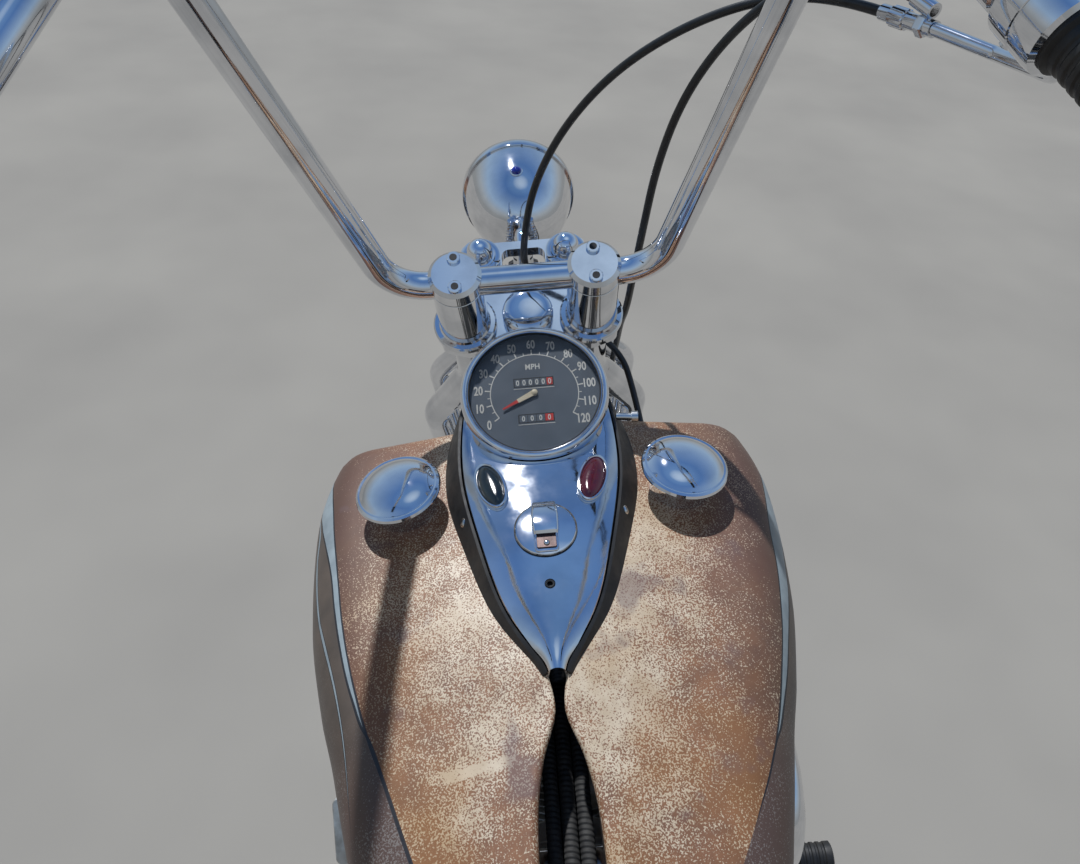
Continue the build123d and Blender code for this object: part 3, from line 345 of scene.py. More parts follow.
def repeat_tree():
    """The node tree that sets a piece down on every point of a mesh."""
    tree = bpy.data.node_groups.get("Repeat piece")
    if tree:
        return tree
    tree, start = new_tree("Repeat piece", Piece="Object", Size="Float", Finish="Material")
    tree.interface.items_tree["Size"].default_value = 1.0
    piece = add_node(tree, "GeometryNodeObjectInfo", {"Object": start["Piece"]})
    turn = add_node(tree, "GeometryNodeInputNamedAttribute", data_type="FLOAT_VECTOR")
    turn.inputs["Name"].default_value = "turn"
    rotation = add_node(tree, "FunctionNodeEulerToRotation", {"Euler": turn.outputs["Attribute"]})
    spread = add_node(tree, "GeometryNodeInstanceOnPoints", {
        "Points": start["Geometry"], "Instance": piece.outputs["Geometry"], "Rotation": rotation.outputs["Rotation"],
        "Scale": start["Size"]})
    return close_tree(tree, start, spread.outputs["Instances"])


def coil_tree():
    """The node tree that makes a coil spring."""
    tree = bpy.data.node_groups.get("Coil spring")
    if tree:
        return tree
    tree, start = new_tree("Coil spring", Turns="Float", Radius="Float", Height="Float", Wire="Float",
                           Finish="Material")
    spiral = add_node(tree, "GeometryNodeCurveSpiral", {
        "Resolution": 22, "Rotations": start["Turns"], "Start Radius": start["Radius"], "End Radius": start["Radius"],
        "Height": start["Height"]})
    wire = add_node(tree, "GeometryNodeCurvePrimitiveCircle", {"Resolution": 8, "Radius": start["Wire"]})
    sweep = add_node(tree, "GeometryNodeCurveToMesh", {
        "Curve": spiral.outputs["Curve"], "Profile Curve": wire.outputs["Curve"], "Fill Caps": True})
    return close_tree(tree, start, sweep.outputs["Mesh"])


def run_tree(tree, mesh, values):
    """The plain mesh that a node tree makes from a mesh and its named inputs."""
    holder = new_object("holder", mesh)
    modifier = holder.modifiers.new("Nodes", "NODES")
    modifier.node_group = tree
    for item in tree.interface.items_tree:
        if item.in_out == "INPUT" and item.name in values:
            modifier[item.identifier] = values[item.name]
    bake(holder)
    made = holder.data
    bpy.data.objects.remove(holder)
    return made


def repeat(places, piece, finish):
    """One mesh with the piece at each of the places, which are frames."""
    points = bpy.data.meshes.new("points")
    points.from_pydata([frame_at.translation for frame_at in places], [], [])
    turns = points.attributes.new("turn", "FLOAT_VECTOR", "POINT")
    for index, frame_at in enumerate(places):
        turns.data[index].vector = frame_at.decompose()[1].to_euler()
    model = bpy.data.objects.new("model", piece.mesh("model"))
    made = run_tree(repeat_tree(), points, {"Piece": model, "Size": 1.0, "Finish": look(finish)})
    bpy.data.objects.remove(model)
    return made


def coil(turns, radius, height, wire):
    """A coil spring of plated wire, with its sizes in metres."""
    return run_tree(coil_tree(), bpy.data.meshes.new("coil"), {
        "Turns": turns, "Radius": radius, "Height": height, "Wire": wire, "Finish": look("chrome")})


def socket_screw(radius, height):
    """A cap screw with a six-sided socket, standing on the origin."""
    screw = Shape()
    rows = [(radius, 0.0), (radius, height * 0.85), (radius * 0.88, height)]
    built = screw.rings([lift(LOOSE, polygon(reach, 18), z) for reach, z in rows], caps=False)
    new_face = screw.bm.faces.new
    new_face(built[0])
    top = built[-1]
    hexagon = polygon(radius * 0.5, 6)
    inner, floor = [[screw.bm.verts.new(p) for p in lift(LOOSE, hexagon, z)] for z in (height, height * 0.35)]
    for i in range(6):
        j = (i + 1) % 6
        new_face([inner[i], inner[j], floor[j], floor[i]])
        for k in range(i * 3, i * 3 + 3):
            new_face([top[k], top[(k + 1) % 18], inner[i]])
        new_face([top[(i * 3 + 3) % 18], inner[j], inner[i]])
    new_face(floor)
    return screw


def hex_bolt(across, height, washer=0.0):
    """A six-sided head on a washer, standing on the origin."""
    bolt = Shape()
    low = 0.0
    if washer:
        bolt.lathe(LOOSE, [(0, 0), (across * 0.78, 0), (across * 0.78, washer), (0, washer)], steps=20)
        low = washer
    bolt.prism(LOOSE, polygon(across * 0.577, 6), low, low + height, chamfer=height * 0.12)
    return bolt


def round_screw(radius, height):
    """A domed screw head, standing on the origin."""
    screw = Shape()
    screw.lathe(LOOSE, [(0, 0), (radius, 0), (radius, height * 0.3), (radius * 0.8, height * 0.75),
                        (radius * 0.4, height), (0, height)], steps=14)
    return screw


# Finishes


def srgb(red, green, blue):
    """A colour in 0 to 255 as Blender's linear red, green, blue and alpha."""
    def linear(value):
        value /= 255.0
        return value / 12.92 if value <= 0.04045 else ((value + 0.055) / 1.055) ** 2.4
    return (linear(red), linear(green), linear(blue), 1.0)


class Nodes:
    """A short way to write a material's nodes."""

    def __init__(self, name):
        self.material = bpy.data.materials.new(name + "_finish")
        self.material.use_nodes = True
        self.tree = self.material.node_tree
        self.shader = self.tree.nodes["Principled BSDF"]
        self.coords = self.add("ShaderNodeTexCoord").outputs["Object"]

    def add(self, kind, inputs=None, **settings):
        return add_node(self.tree, kind, inputs, **settings)

    def set(self, **values):
        for key, value in values.items():
            name = key.replace("_", " ")
            if isinstance(value, bpy.types.NodeSocket):
                self.tree.links.new(value, self.shader.inputs[name])
            else:
                self.shader.inputs[name].default_value = value

    def noise(self, scale, detail=3.0, roughness=0.55, coords=None):
        return self.add("ShaderNodeTexNoise", {"Vector": coords or self.coords, "Scale": scale, "Detail": detail,
                                               "Roughness": roughness}).outputs["Fac"]

    def range(self, value, low, high, to_low=0.0, to_high=1.0, smooth=False):
        return self.add("ShaderNodeMapRange", {"Value": value, "From Min": low, "From Max": high, "To Min": to_low,
                                               "To Max": to_high},
                        interpolation_type="SMOOTHSTEP" if smooth else "LINEAR").outputs["Result"]

    def mix(self, factor, first, second):
        node = self.add("ShaderNodeMix", {0: factor, 6: first, 7: second}, data_type="RGBA")
        return node.outputs[2]

    def math(self, kind, first, second=0.0):
        return self.add("ShaderNodeMath", {0: first, 1: second}, operation=kind).outputs[0]

    def bump(self, height, strength, distance):
        node = self.add("ShaderNodeBump", {"Height": height, "Strength": strength, "Distance": distance})
        self.set(Normal=node.outputs["Normal"])


def finish(name, colour, second=None, metallic=0.0, rough=(0.3, 0.45), patch=25.0, low=0.42, high=0.62,
           grain=500.0, relief=0.1, depth=0.0004, coat=0.0, specular=0.5):
    """A surface whose colour wanders to a second one in patches, with uneven gloss and a fine grain."""
    n = Nodes(name)
    patches = n.noise(patch, 4.0)
    n.set(Base_Color=n.mix(n.range(patches, low, high), colour, second or colour))
    n.set(Metallic=metallic, Roughness=n.range(n.noise(patch * 2.3, 3.0), 0.35, 0.65, rough[0], rough[1]))
    n.set(Coat_Weight=coat, Specular_IOR_Level=specular)
    if coat:
        n.set(Coat_Roughness=0.06)
    n.bump(n.noise(grain, 2.0), relief, depth)
    return n


PAINT_X = (-240.0, 300.0)
PAINT_GIRTH = 400.0
# Along the tank from front to rear, how far round from the inner top edge each painted line runs, in mm
STRIPE_LINES = {
    "left": {
        "inner": [(-240, 34), (-160, 64), (-104, 86.5), (-75, 97.7), (-47, 108.3), (-20, 118.5), (7, 127.9),
                  (36, 136.6), (75, 145.8), (119, 153.7), (168, 162.6), (227, 174), (300, 200)],
        "outer": [(-240, 33.4), (-160, 63.4), (-104, 85.9), (-75, 97.1), (-47, 107.7), (-20, 118), (-8, 125.3),
                  (8, 131.8), (29, 139.4), (58, 147.2), (90, 154.4), (133, 163.3), (183, 180.5), (230, 200),
                  (300, 230)],
        "second": [(-240, 120), (-100, 136), (-36, 140), (-22, 141.4), (-4, 144.1), (17, 148.9), (40, 155.9),
                   (66, 165.1), (102, 177.3), (150, 186), (192, 188.5), (230, 214), (300, 250)],
    },
    "right": {
        "inner": [(-240, 30), (-160, 69), (-95, 105), (-81, 112.6), (-61, 123.8), (-36, 134.9), (-10, 144.4),
                  (17, 152.3), (45, 159.9), (75, 165.4), (108, 170.6), (142, 173), (202, 184.9), (300, 208)],
        "outer": [(-240, 29.4), (-160, 68.4), (-95, 104.4), (-61, 123.2), (-36, 136), (-30, 140.1), (-11, 148.6),
                  (15, 159.2), (44, 168.5), (75, 177.9), (104, 186.1), (134, 193.1), (200, 212), (300, 240)],
        "second": [(-240, 140), (-100, 158), (-50, 170), (0, 180), (50, 192), (100, 208), (160, 224), (300, 262)],
    },
}
STRIPE_TAIL = {"left": -190.0, "right": -101.0}


def curve_of(n, value, points, top):
    """A curve node that reads a table of (place along the tank, height up to top)."""
    node = n.add("ShaderNodeFloatCurve", {"Value": value})
    curve = node.mapping.curves[0]
    span = PAINT_X[1] - PAINT_X[0]
    places = [((x - PAINT_X[0]) / span, y / top) for x, y in points]
    curve.points[0].location = places[0]
    curve.points[1].location = places[-1]
    for spot in places[1:-1]:
        curve.points.new(*spot)
    node.mapping.update()
    return n.math("MULTIPLY", node.outputs["Value"], top)


def make_tank_paint(side):
    """Worn pale paint with rusted specks, thicker round the outer side partly as painted shade, a pale band between
    dark lines and a plain flank.
    """
    n = Nodes("tank_paint_" + side)
    uv = n.add("ShaderNodeUVMap", uv_map="Paint").outputs["UV"]
    axes = n.add("ShaderNodeSeparateXYZ", {"Vector": uv})
    along = n.range(axes.outputs["X"], 0.0, 1.0, *PAINT_X)
    girth = n.math("MULTIPLY", axes.outputs["Y"], PAINT_GIRTH)

    def drift(scale, start, low, high):
        moved = n.add("ShaderNodeMapping", {"Vector": n.coords, "Location": (start, start * 0.7, start * 1.3)})
        return n.range(n.noise(scale, 3.0, 0.55, moved.outputs["Vector"]), low, high)

    specks = n.noise(760.0, 2.0, 0.55)
    thick = n.math("ADD", n.math("MULTIPLY", n.math("SUBTRACT", n.noise(8.0, 3.0), 0.5), 0.42),
                   n.math("MULTIPLY", n.math("SUBTRACT", n.noise(34.0, 4.0), 0.5), 0.3))
    # the specks grow thicker round toward the outer side: partly more rusting, partly painted shade of the outer sides
    level = n.math("ADD", n.math("ADD", specks, thick), n.range(girth, 40.0, 175.0, -0.01, 0.17))
    rear = (0.12, 0.0) if side == "left" else (0.06, -0.02)
    level = n.math("ADD", level, n.range(along, -150.0, -20.0, *rear))
    if side == "left":
        off = n.math("ABSOLUTE", n.math("SUBTRACT", along, n.range(n.noise(16.0), 0.3, 0.7, -55.0, -47.0)))
        near = n.math("MULTIPLY", n.range(off, 2.5, 5.0, 1.0, 0.0),
                      n.math("MULTIPLY", n.range(girth, 8.0, 20.0), n.range(girth, 60.0, 84.0, 1.0, 0.0)))
        level = n.math("SUBTRACT", level, n.math("MULTIPLY", near, 0.16))
    rust_and_shade = n.range(level, 0.45, 0.53, 0.0, 1.0, True)
    gold = n.math("MULTIPLY", drift(6.0, 1.7, 0.4, 0.58), n.range(along, -40.0, 140.0, 1.0, 0.3))
    red = n.math("MULTIPLY", drift(9.0, 4.1, 0.4, 0.62), n.range(girth, 90.0, 160.0, 0.15, 1.0))
    purple = drift(17.0, 6.3, 0.6, 0.68)
    pale = n.mix(drift(70.0, 2.2, 0.35, 0.65), srgb(226, 213, 193), srgb(206, 189, 165))
    pale = n.mix(n.math("MULTIPLY", gold, 0.7), pale, srgb(190, 152, 98))
    pale = n.mix(n.math("MULTIPLY", red, 0.6), pale, srgb(164, 128, 112))
    brown = n.mix(drift(60.0, 3.4, 0.35, 0.65), srgb(146, 98, 66), srgb(120, 79, 56))
    brown = n.mix(gold, brown, srgb(150, 100, 50))
    brown = n.mix(n.math("MULTIPLY", red, 0.8), brown, srgb(124, 74, 58))
    brown = n.mix(n.range(girth, 90.0, 165.0, 0.0, 0.85), brown, srgb(76, 54, 48))
    worn = n.mix(n.math("MULTIPLY", rust_and_shade, 0.94), pale, brown)
    worn = n.mix(n.math("MULTIPLY", purple, 0.6), worn, srgb(112, 92, 94))
    # the painted flank, which wears to specks behind the band
    flank = n.mix(drift(30.0, 5.2, 0.35, 0.65), srgb(82, 74, 68), srgb(100, 89, 81))
    dull = n.mix(rust_and_shade, srgb(134, 127, 124), srgb(92, 72, 65))
    flank = n.mix(n.range(along, -70.0, 5.0), dull, flank)
    band = n.mix(drift(60.0, 7.7, 0.3, 0.7), srgb(164, 180, 190), srgb(140, 155, 166))
    lines = {key: curve_of(n, axes.outputs["X"], table, PAINT_GIRTH) for key, table in STRIPE_LINES[side].items()}

    def past(line):
        return n.range(n.math("SUBTRACT", girth, line), -0.3, 0.3)

    def along_line(line, width, tone):
        off = n.math("ABSOLUTE", n.math("SUBTRACT", girth, line))
        return n.mix(n.math("MULTIPLY", n.math("LESS_THAN", off, width), 0.96), colour, tone)

    colour = n.mix(past(lines["inner"]), worn, band)
    colour = n.mix(past(lines["outer"]), colour, flank)
    dark = srgb(22, 22, 28)
    tail = STRIPE_TAIL[side]
    width = n.math("MINIMUM", n.range(along, tail, tail + 80.0, 0.0, 1.1), n.range(along, -20.0, 40.0, 1.1, 0.75))
    colour = along_line(lines["inner"], width, dark)
    colour = along_line(lines["outer"], n.math("MULTIPLY", width, 1.1), dark)
    thin = n.range(along, -60.0, 60.0, 0.0, 1.3)
    colour = along_line(lines["second"], n.math("ADD", thin, n.range(along, -90.0, -30.0, 0.0, 0.7)), dark)
    colour = along_line(lines["second"], thin, band)
    n.set(Base_Color=colour, Roughness=n.range(rust_and_shade, 0.0, 1.0, 0.4, 0.58), Coat_Weight=0.2, Coat_Roughness=0.25)
    n.bump(n.math("MULTIPLY", rust_and_shade, -1.0), 0.12, 0.0004)


def make_heat_chrome():
    """Pipe plating that yellows and blues toward the heads."""
    n = Nodes("pipe_chrome")
    fars = []
    for side in (1, -1):
        port = port_frame(side).translation
        fars.append(n.add("ShaderNodeVectorMath", {0: n.coords, 1: port}, operation="DISTANCE").outputs["Value"])
    reach = n.math("MINIMUM", *fars)
    heat = n.math("ADD", n.range(reach, 0.03, 0.42, 1.0, 0.0),
                  n.math("MULTIPLY", n.math("SUBTRACT", n.noise(14.0), 0.5), 0.25))
    warm = n.mix(n.range(heat, 0.25, 0.6), srgb(222, 223, 226), srgb(198, 168, 112))
    n.set(Base_Color=n.mix(n.range(heat, 0.62, 0.95), warm, srgb(96, 98, 128)), Metallic=1.0,
          Roughness=n.range(n.noise(70.0), 0.35, 0.7, 0.07, 0.16))
    n.bump(n.noise(260.0), 0.03, 0.0003)


def make_wrapped(name, colour, second, rough, turns, relief, depth):
    """Sleeve or cable jacket: a helix of ribs that follows the piece's own UV map."""
    n = Nodes(name)
    uv = n.add("ShaderNodeUVMap", uv_map="Wrap").outputs["UV"]
    axes = n.add("ShaderNodeSeparateXYZ", {"Vector": uv})
    around = n.math("ADD", n.math("MULTIPLY", axes.outputs["X"], turns), axes.outputs["Y"])
    wave = n.math("SINE", n.math("MULTIPLY", around, 2 * math.pi))
    n.set(Base_Color=n.mix(n.range(n.noise(120.0), 0.35, 0.65), colour, second), Roughness=rough)
    n.bump(n.math("MULTIPLY", wave, 0.5), relief, depth)


def make_leather():
    """Worn brown leather with fine cells and soft creases."""
    n = Nodes("saddle_leather")
    cells = n.add("ShaderNodeTexVoronoi", {"Vector": n.coords, "Scale": 420.0}, feature="DISTANCE_TO_EDGE")
    creases = n.noise(38.0, 5.0, 0.6)
    worn = n.range(n.noise(9.0, 3.0), 0.5, 0.75)
    tone = n.mix(n.range(creases, 0.4, 0.65), srgb(38, 26, 20), srgb(58, 40, 29))
    n.set(Base_Color=n.mix(worn, tone, srgb(92, 66, 46)), Roughness=n.range(creases, 0.3, 0.7, 0.42, 0.62))
    height = n.math("ADD", n.math("MULTIPLY", n.range(cells.outputs["Distance"], 0.0, 0.12), 0.5), creases)
    n.bump(height, 0.35, 0.0007)


def make_glass(name, colour, alpha, rough=0.02):
    """Clear or tinted glass with faint smears."""
    n = Nodes(name)
    smear = n.noise(30.0, 3.0)
    n.set(Base_Color=n.mix(n.range(smear, 0.3, 0.7), colour, colour), Alpha=alpha,
          Roughness=n.range(smear, 0.3, 0.7, rough, rough + 0.05), Specular_IOR_Level=0.8)
    n.material.surface_render_method = "BLENDED"


def make_finishes(colours):
    """Every finish of the machine, by the names that look() takes."""
    chrome = tuple(colours.chrome) + (1.0,)
    enamel = tuple(colours.enamel) + (1.0,)
    finish("chrome", chrome, srgb(206, 208, 212), 1.0, (0.03, 0.09), 18.0, relief=0.02, grain=300.0, depth=0.0002)
    finish("aged_chrome", srgb(205, 203, 200), srgb(160, 150, 140), 1.0, (0.08, 0.24), 30.0, 0.5, 0.72, relief=0.06)
    finish("enamel", enamel, srgb(26, 26, 28), 0.0, (0.16, 0.26), 20.0, relief=0.03, grain=240.0, coat=0.6)
    finish("cast_alloy", srgb(168, 166, 162), srgb(128, 124, 118), 0.85, (0.38, 0.58), 30.0, relief=0.35, grain=900.0)
    finish("polished_alloy", srgb(206, 205, 202), srgb(176, 174, 170), 1.0, (0.14, 0.3), 24.0, relief=0.05)
    finish("steel", srgb(150, 147, 142), srgb(104, 92, 80), 0.9, (0.3, 0.5), 45.0, 0.5, 0.7, relief=0.15)
    finish("chain_steel", srgb(96, 92, 88), srgb(58, 50, 44), 0.9, (0.35, 0.5), 60.0, relief=0.2)
    finish("tyre_rubber", srgb(34, 34, 35), srgb(58, 54, 50), 0.0, (0.62, 0.82), 26.0, 0.5, 0.75, 1200.0, 0.3)
    finish("black_rubber", srgb(26, 26, 27), srgb(44, 43, 42), 0.0, (0.45, 0.62), 40.0, relief=0.2, grain=900.0)
    finish("dial_black", srgb(98, 108, 120), srgb(88, 97, 108), 0.0, (0.32, 0.42), 30.0, relief=0.03, specular=0.4)
    finish("dial_white", srgb(232, 233, 230), srgb(214, 214, 210), 0.0, (0.4, 0.5), 40.0, relief=0.03)
    finish("dial_red", srgb(214, 46, 32), srgb(190, 36, 26), 0.0, (0.35, 0.45), 60.0, relief=0.03)
    finish("needle_cream", srgb(226, 216, 190), srgb(210, 198, 170), 0.0, (0.4, 0.5), 60.0, relief=0.03)
    finish("dark_hole", srgb(8, 8, 9), srgb(14, 13, 12), 0.0, (0.5, 0.7), 60.0, relief=0.05)
    finish("red_lens", srgb(84, 8, 16), srgb(52, 5, 10), 0.0, (0.08, 0.16), 60.0, relief=0.05, coat=0.8)
    finish("dark_lens", srgb(16, 26, 22), srgb(8, 14, 12), 0.0, (0.08, 0.16), 60.0, relief=0.05, coat=0.8)
    finish("blue_jewel", srgb(18, 40, 190), srgb(10, 24, 140), 0.0, (0.05, 0.1), 60.0, relief=0.02, coat=1.0)
    finish("brown_plate", srgb(86, 60, 56), srgb(64, 46, 44), 0.4, (0.3, 0.42), 60.0, relief=0.05)
    finish("pad_plate", srgb(206, 208, 206), srgb(170, 168, 162), 0.6, (0.3, 0.5), 40.0, relief=0.15)
    make_tank_paint("left")
    make_tank_paint("right")
    make_heat_chrome()
    make_wrapped("braided_sleeve", srgb(66, 66, 66), srgb(40, 40, 41), 0.7, 26.0, 0.8, 0.0009)
    make_wrapped("cable_jacket", srgb(20, 20, 21), srgb(34, 34, 35), 0.38, 60.0, 0.1, 0.0003)
    make_leather()
    make_glass("clear_glass", srgb(44, 54, 68), 0.1)
    make_glass("lamp_glass", srgb(226, 232, 236), 0.42, 0.04)


# Tables of places on the upright machine


BAR_RUN = [(333.17, 120, 970.1), (225, 217, 1312), (-56, 307, 1190)]
BAR_R = 12.7
GRIP_LENGTH = 130.0
ELBOW = [(72, -270, 1229.5), (86, -284, 1210), (146, -281, 1203), (191, -262, 1205)]
ADJUSTER_END = (236, -246, 1204)
AXLE_U, AXLE_W = 60.0, -669.86
RISER_U, RISER_Y, BAR_W = -5.0, 62.0, 85.0
SPRING_U, SPRING_Y, CROWN_W = 67.0, 43.0, -188.0
MANIFOLD_Z = 578.0
BRAKE_CABLE = [(196, -262, 1214), (230, -250, 1222), (268, -229, 1222), (298, -197, 1206), (316, -162, 1170),
               (328, -134, 1122), (338, -117, 1064), (348, -108, 1002), (366, -102, 944), (394, -99.5, 890),
               steer_point(20, -98, -70), steer_point(30, -99, -140), steer_point(34, -96, -220),
               steer_point(31, -92, -305), steer_point(27, -91, -395), steer_point(24, -87, -480),
               steer_point(31, -80, -530), steer_point(44, -73, -568),
               steer_point(AXLE_U - 8, -70, AXLE_W + 71.3)]
THROTTLE_CABLE = [(237, -245, 1204), (278, -227, 1204), (316, -188, 1196), (345, -136, 1172), (368, -84, 1134),
                  (388, -42, 1082), (404, -14, 1024), (414, -2, 968), steer_point(60, 0, -5),
                  steer_point(51, -12, -50), steer_point(41, -38, -80), steer_point(28, -74, -104),
                  steer_point(2, -102, -121), steer_point(-30, -110, -134), (384, -116, 738), (336, -119, 708),
                  (278, -119, 688), (216, -122, 678), (162, -128, 676), (126, -134, 669), (103, -138, 654),
                  (90, -140, 634), (86, -140, MANIFOLD_Z + 37.3)]
TANK_SECTIONS = [(300, 48, 48, 160, 735, 828, 26, 26), (284, 30, 30, 186, 712, 842, 34, 34),
                 (272, 28, 28, 196, 704, 847, 40, 40), (205, 24, 24, 205, 692, 853, 40, 46),
                 (95, 24, 24, 198, 690, 846, 40, 48), (20, 8, 24, 183, 691, 838, 37, 50),
                 (-18, 1.5, 24, 172, 692, 831, 36, 50), (-50, 12, 24, 164, 694, 825, 34, 48),
                 (-84, 19, 24, 155, 697, 818, 32, 45), (-130, 21, 24, 141, 700, 808, 30, 42),
                 (-215, 26, 26, 100, 712, 783, 18, 24), (-240, 36, 36, 72, 724, 768, 9, 11)]
SADDLE_SECTIONS = [(-252, 38, 752, 778), (-292, 56, 748, 785), (-372, 96, 742, 782), (-462, 146, 740, 792),
                   (-530, 142, 742, 812), (-566, 96, 750, 808)]


def seat(origin, rx=0.0, ry=0.0, rz=0.0):
    """A frame at origin turned about its own X, then Y, then Z, in degrees."""
    turned = Matrix.Rotation(math.radians(rx), 4, "X") @ Matrix.Rotation(math.radians(ry), 4, "Y")
    return PARK @ Matrix.Translation(origin) @ turned @ Matrix.Rotation(math.radians(rz), 4, "Z")


def smooth_rows(rows, places, wanted):
    """Rows of points at places along a line, read at the wanted places on a smooth curve through them."""
    slopes = []
    for i in range(len(rows)):
        a, b = max(0, i - 1), min(len(rows) - 1, i + 1)
        slopes.append([(q - p) / (places[b] - places[a]) for p, q in zip(rows[a], rows[b])])
    made = []
    for x in wanted:
        k = max(i for i in range(len(places) - 1) if i == 0 or (x - places[i]) * (places[i] - places[0]) >= 0
                and abs(x - places[0]) >= abs(places[i] - places[0]))
        h = places[k + 1] - places[k]
        t = (x - places[k]) / h
        h00, h10 = 2 * t ** 3 - 3 * t ** 2 + 1, t ** 3 - 2 * t ** 2 + t
        h01, h11 = -2 * t ** 3 + 3 * t ** 2, t ** 3 - t ** 2
        made.append([p * h00 + s * h * h10 + q * h01 + u * h * h11
                     for p, q, s, u in zip(rows[k], rows[k + 1], slopes[k], slopes[k + 1])])
    return made


def spaced(start, end, count):
    """Evenly spaced numbers from start to end."""
    return [start + (end - start) * i / (count - 1) for i in range(count)]


# Cables


def curve_mesh(curve):
    """The mesh that a curve draws. The curve is removed."""
    holder = new_object(curve.name, curve)
    bpy.context.view_layer.update()
    mesh = bpy.data.meshes.new_from_object(holder)
    bpy.data.objects.remove(holder)
    bpy.data.curves.remove(curve)
    return mesh


def spline_points(points):
    """The points of the open NURBS spline that has these control points."""
    curve = bpy.data.curves.new("route", "CURVE")
    curve.dimensions = "3D"
    curve.resolution_u = 10
    add_spline(curve, points)
    mesh = curve_mesh(curve)
    line = [v.co.copy() for v in mesh.vertices]
    bpy.data.meshes.remove(mesh)
    return line


def add_spline(curve, points):
    """Adds an open NURBS spline with these control points, which are on the upright machine."""
    spline = curve.splines.new("NURBS")
    spline.points.add(len(points) - 1)
    for point, spot in zip(spline.points, points):
        point.co = (PARK @ Vector(spot)).to_4d()
    spline.order_u = 3
    spline.use_endpoint_u = True


def make_cables(sizes):
    """The brake cable and the throttle cable."""
    radius = sizes.cable
    brake = bpy.data.curves.new("brake_cable_line", "CURVE")
    brake.dimensions = "3D"
    brake.bevel_depth = radius
    brake.bevel_resolution = 5
    brake.resolution_u = 14
    brake.use_fill_caps = True
    add_spline(brake, BRAKE_CABLE)
    brake.materials.append(look("cable_jacket"))
    cord = new_object("brake_cable_line", brake)
    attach(cord, "steering")
    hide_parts("brake_cable")
    line = spline_points(THROTTLE_CABLE)
    tube = Shape()
    tube.tube(Matrix.Identity(4), line, radius, steps=12)
    mesh = tube.mesh("throttle_cable_line", 60)
    throttle = new_object("throttle_cable_line", mesh)
    mesh.materials.append(look("cable_jacket"))
    wrap_uv(mesh)
    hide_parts("throttle_cable")
    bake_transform(throttle)


def wrap_uv(mesh):
    """A plain UV map for wrapped finishes, from each corner's place."""
    layer = mesh.uv_layers.new(name="Wrap")
    for loop in mesh.loops:
        spot = mesh.vertices[loop.vertex_index].co
        layer.data[loop.index].uv = (spot.x * 10, spot.y * 10 + spot.z * 10)


# Tanks


def tank_row(x, lip, inner, outer, low, high, low_r, high_r, side):
    """One outline across a tank, from the inner top edge outward and round, with its straight runs divided."""
    corners = [(lip, high, min(6.0, 2.0 + lip / 6)), (outer + 2, high - 22, high_r), (outer, low, low_r),
               (inner, low, 8), (inner, high - 0.3 * (high - low), 4)]
    arc_steps, parts = 8, 12
    ring = outline(corners, arc_steps)
    made = []
    for index, point in enumerate(ring):
        after = ring[(index + 1) % len(ring)]
        made.append(point)
        if index % (arc_steps + 1) == arc_steps:
            made += [point.lerp(after, k / parts) for k in range(1, parts)]
    return [Vector((x, side * p.x, p.y)) for p in made]


def end_rows(row, steps):
    """Rows that close an end: copies of row about its middle, each with its share of the size and its lift."""
    middle = sum(row, Vector()) / len(row)
    return [[middle + (p - middle) * share + Vector((lift_x, 0, 0)) for p in row] for share, lift_x in steps]


def make_tanks():
    """The two tanks, with a UV map for their paint, and their caps."""
    for name, side in (("fuel_tank_left", 1), ("fuel_tank_right", -1)):
        rows = [tank_row(*section, side) for section in TANK_SECTIONS]
        places = [section[0] for section in TANK_SECTIONS]
        stations = [300, 295, 290, 284, 278, 272] + spaced(264, -215, 62)[:-1] + [-215, -222, -229, -235, -240]
        body = smooth_rows(rows, places, stations)
        every = end_rows(body[0], ((0.3, 6.0), (0.62, 5.2), (0.86, 3.2), (0.96, 1.4))) + body
        every += end_rows(body[-1], ((0.94, -1.2), (0.8, -2.6), (0.5, -3.8)))
        shape = Shape()
        layer = shape.bm.loops.layers.uv.new("Paint")
        built = shape.rings([[PARK @ p for p in row] for row in every])
        girths = []
        for row in every:
            far = [abs(row[0].y) - 24.0]
            for a, b in zip(row, row[1:] + row[:1]):
                far.append(far[-1] + (b - a).length)
            girths.append(far)
        spots = {vert: (i, j) for i, row in enumerate(built) for j, vert in enumerate(row)}
        for face in shape.bm.faces:
            where = [spots[loop.vert] for loop in face.loops]
            wraps = max(j for i, j in where) - min(j for i, j in where) > 2
            for loop, (i, j) in zip(face.loops, where):
                column = len(every[0]) if wraps and j == 0 and len(where) == 4 else j
                along = (every[i][j].x - PAINT_X[0]) / (PAINT_X[1] - PAINT_X[0])
                loop[layer].uv = (along, girths[i][column] / PAINT_GIRTH)
        dress(name + "_shell", shape, ["tank_paint_left" if side > 0 else "tank_paint_right", "aged_chrome"],
              "frame", [name])
        cap = Shape()
        cap.lathe(seat((181, side * 120, 857), -side * 8, -4), [
            (0, -20), (26, -20), (26.5, 3), (29, 5), (34, 5.6), (36.4, 7.2), (37, 9.2), (36.2, 11.6), (34.4, 12.9),
            (32.8, 12.7), (32, 13.2), (30, 15.1), (25, 17.9), (18, 20.2), (10, 21.6), (4, 22), (0, 22)], steps=72)
        cap_name = name.replace("fuel_tank", "fuel_cap")
        dress(cap_name + "_dome", cap, ["chrome"], "frame", [cap_name])


# Instrument


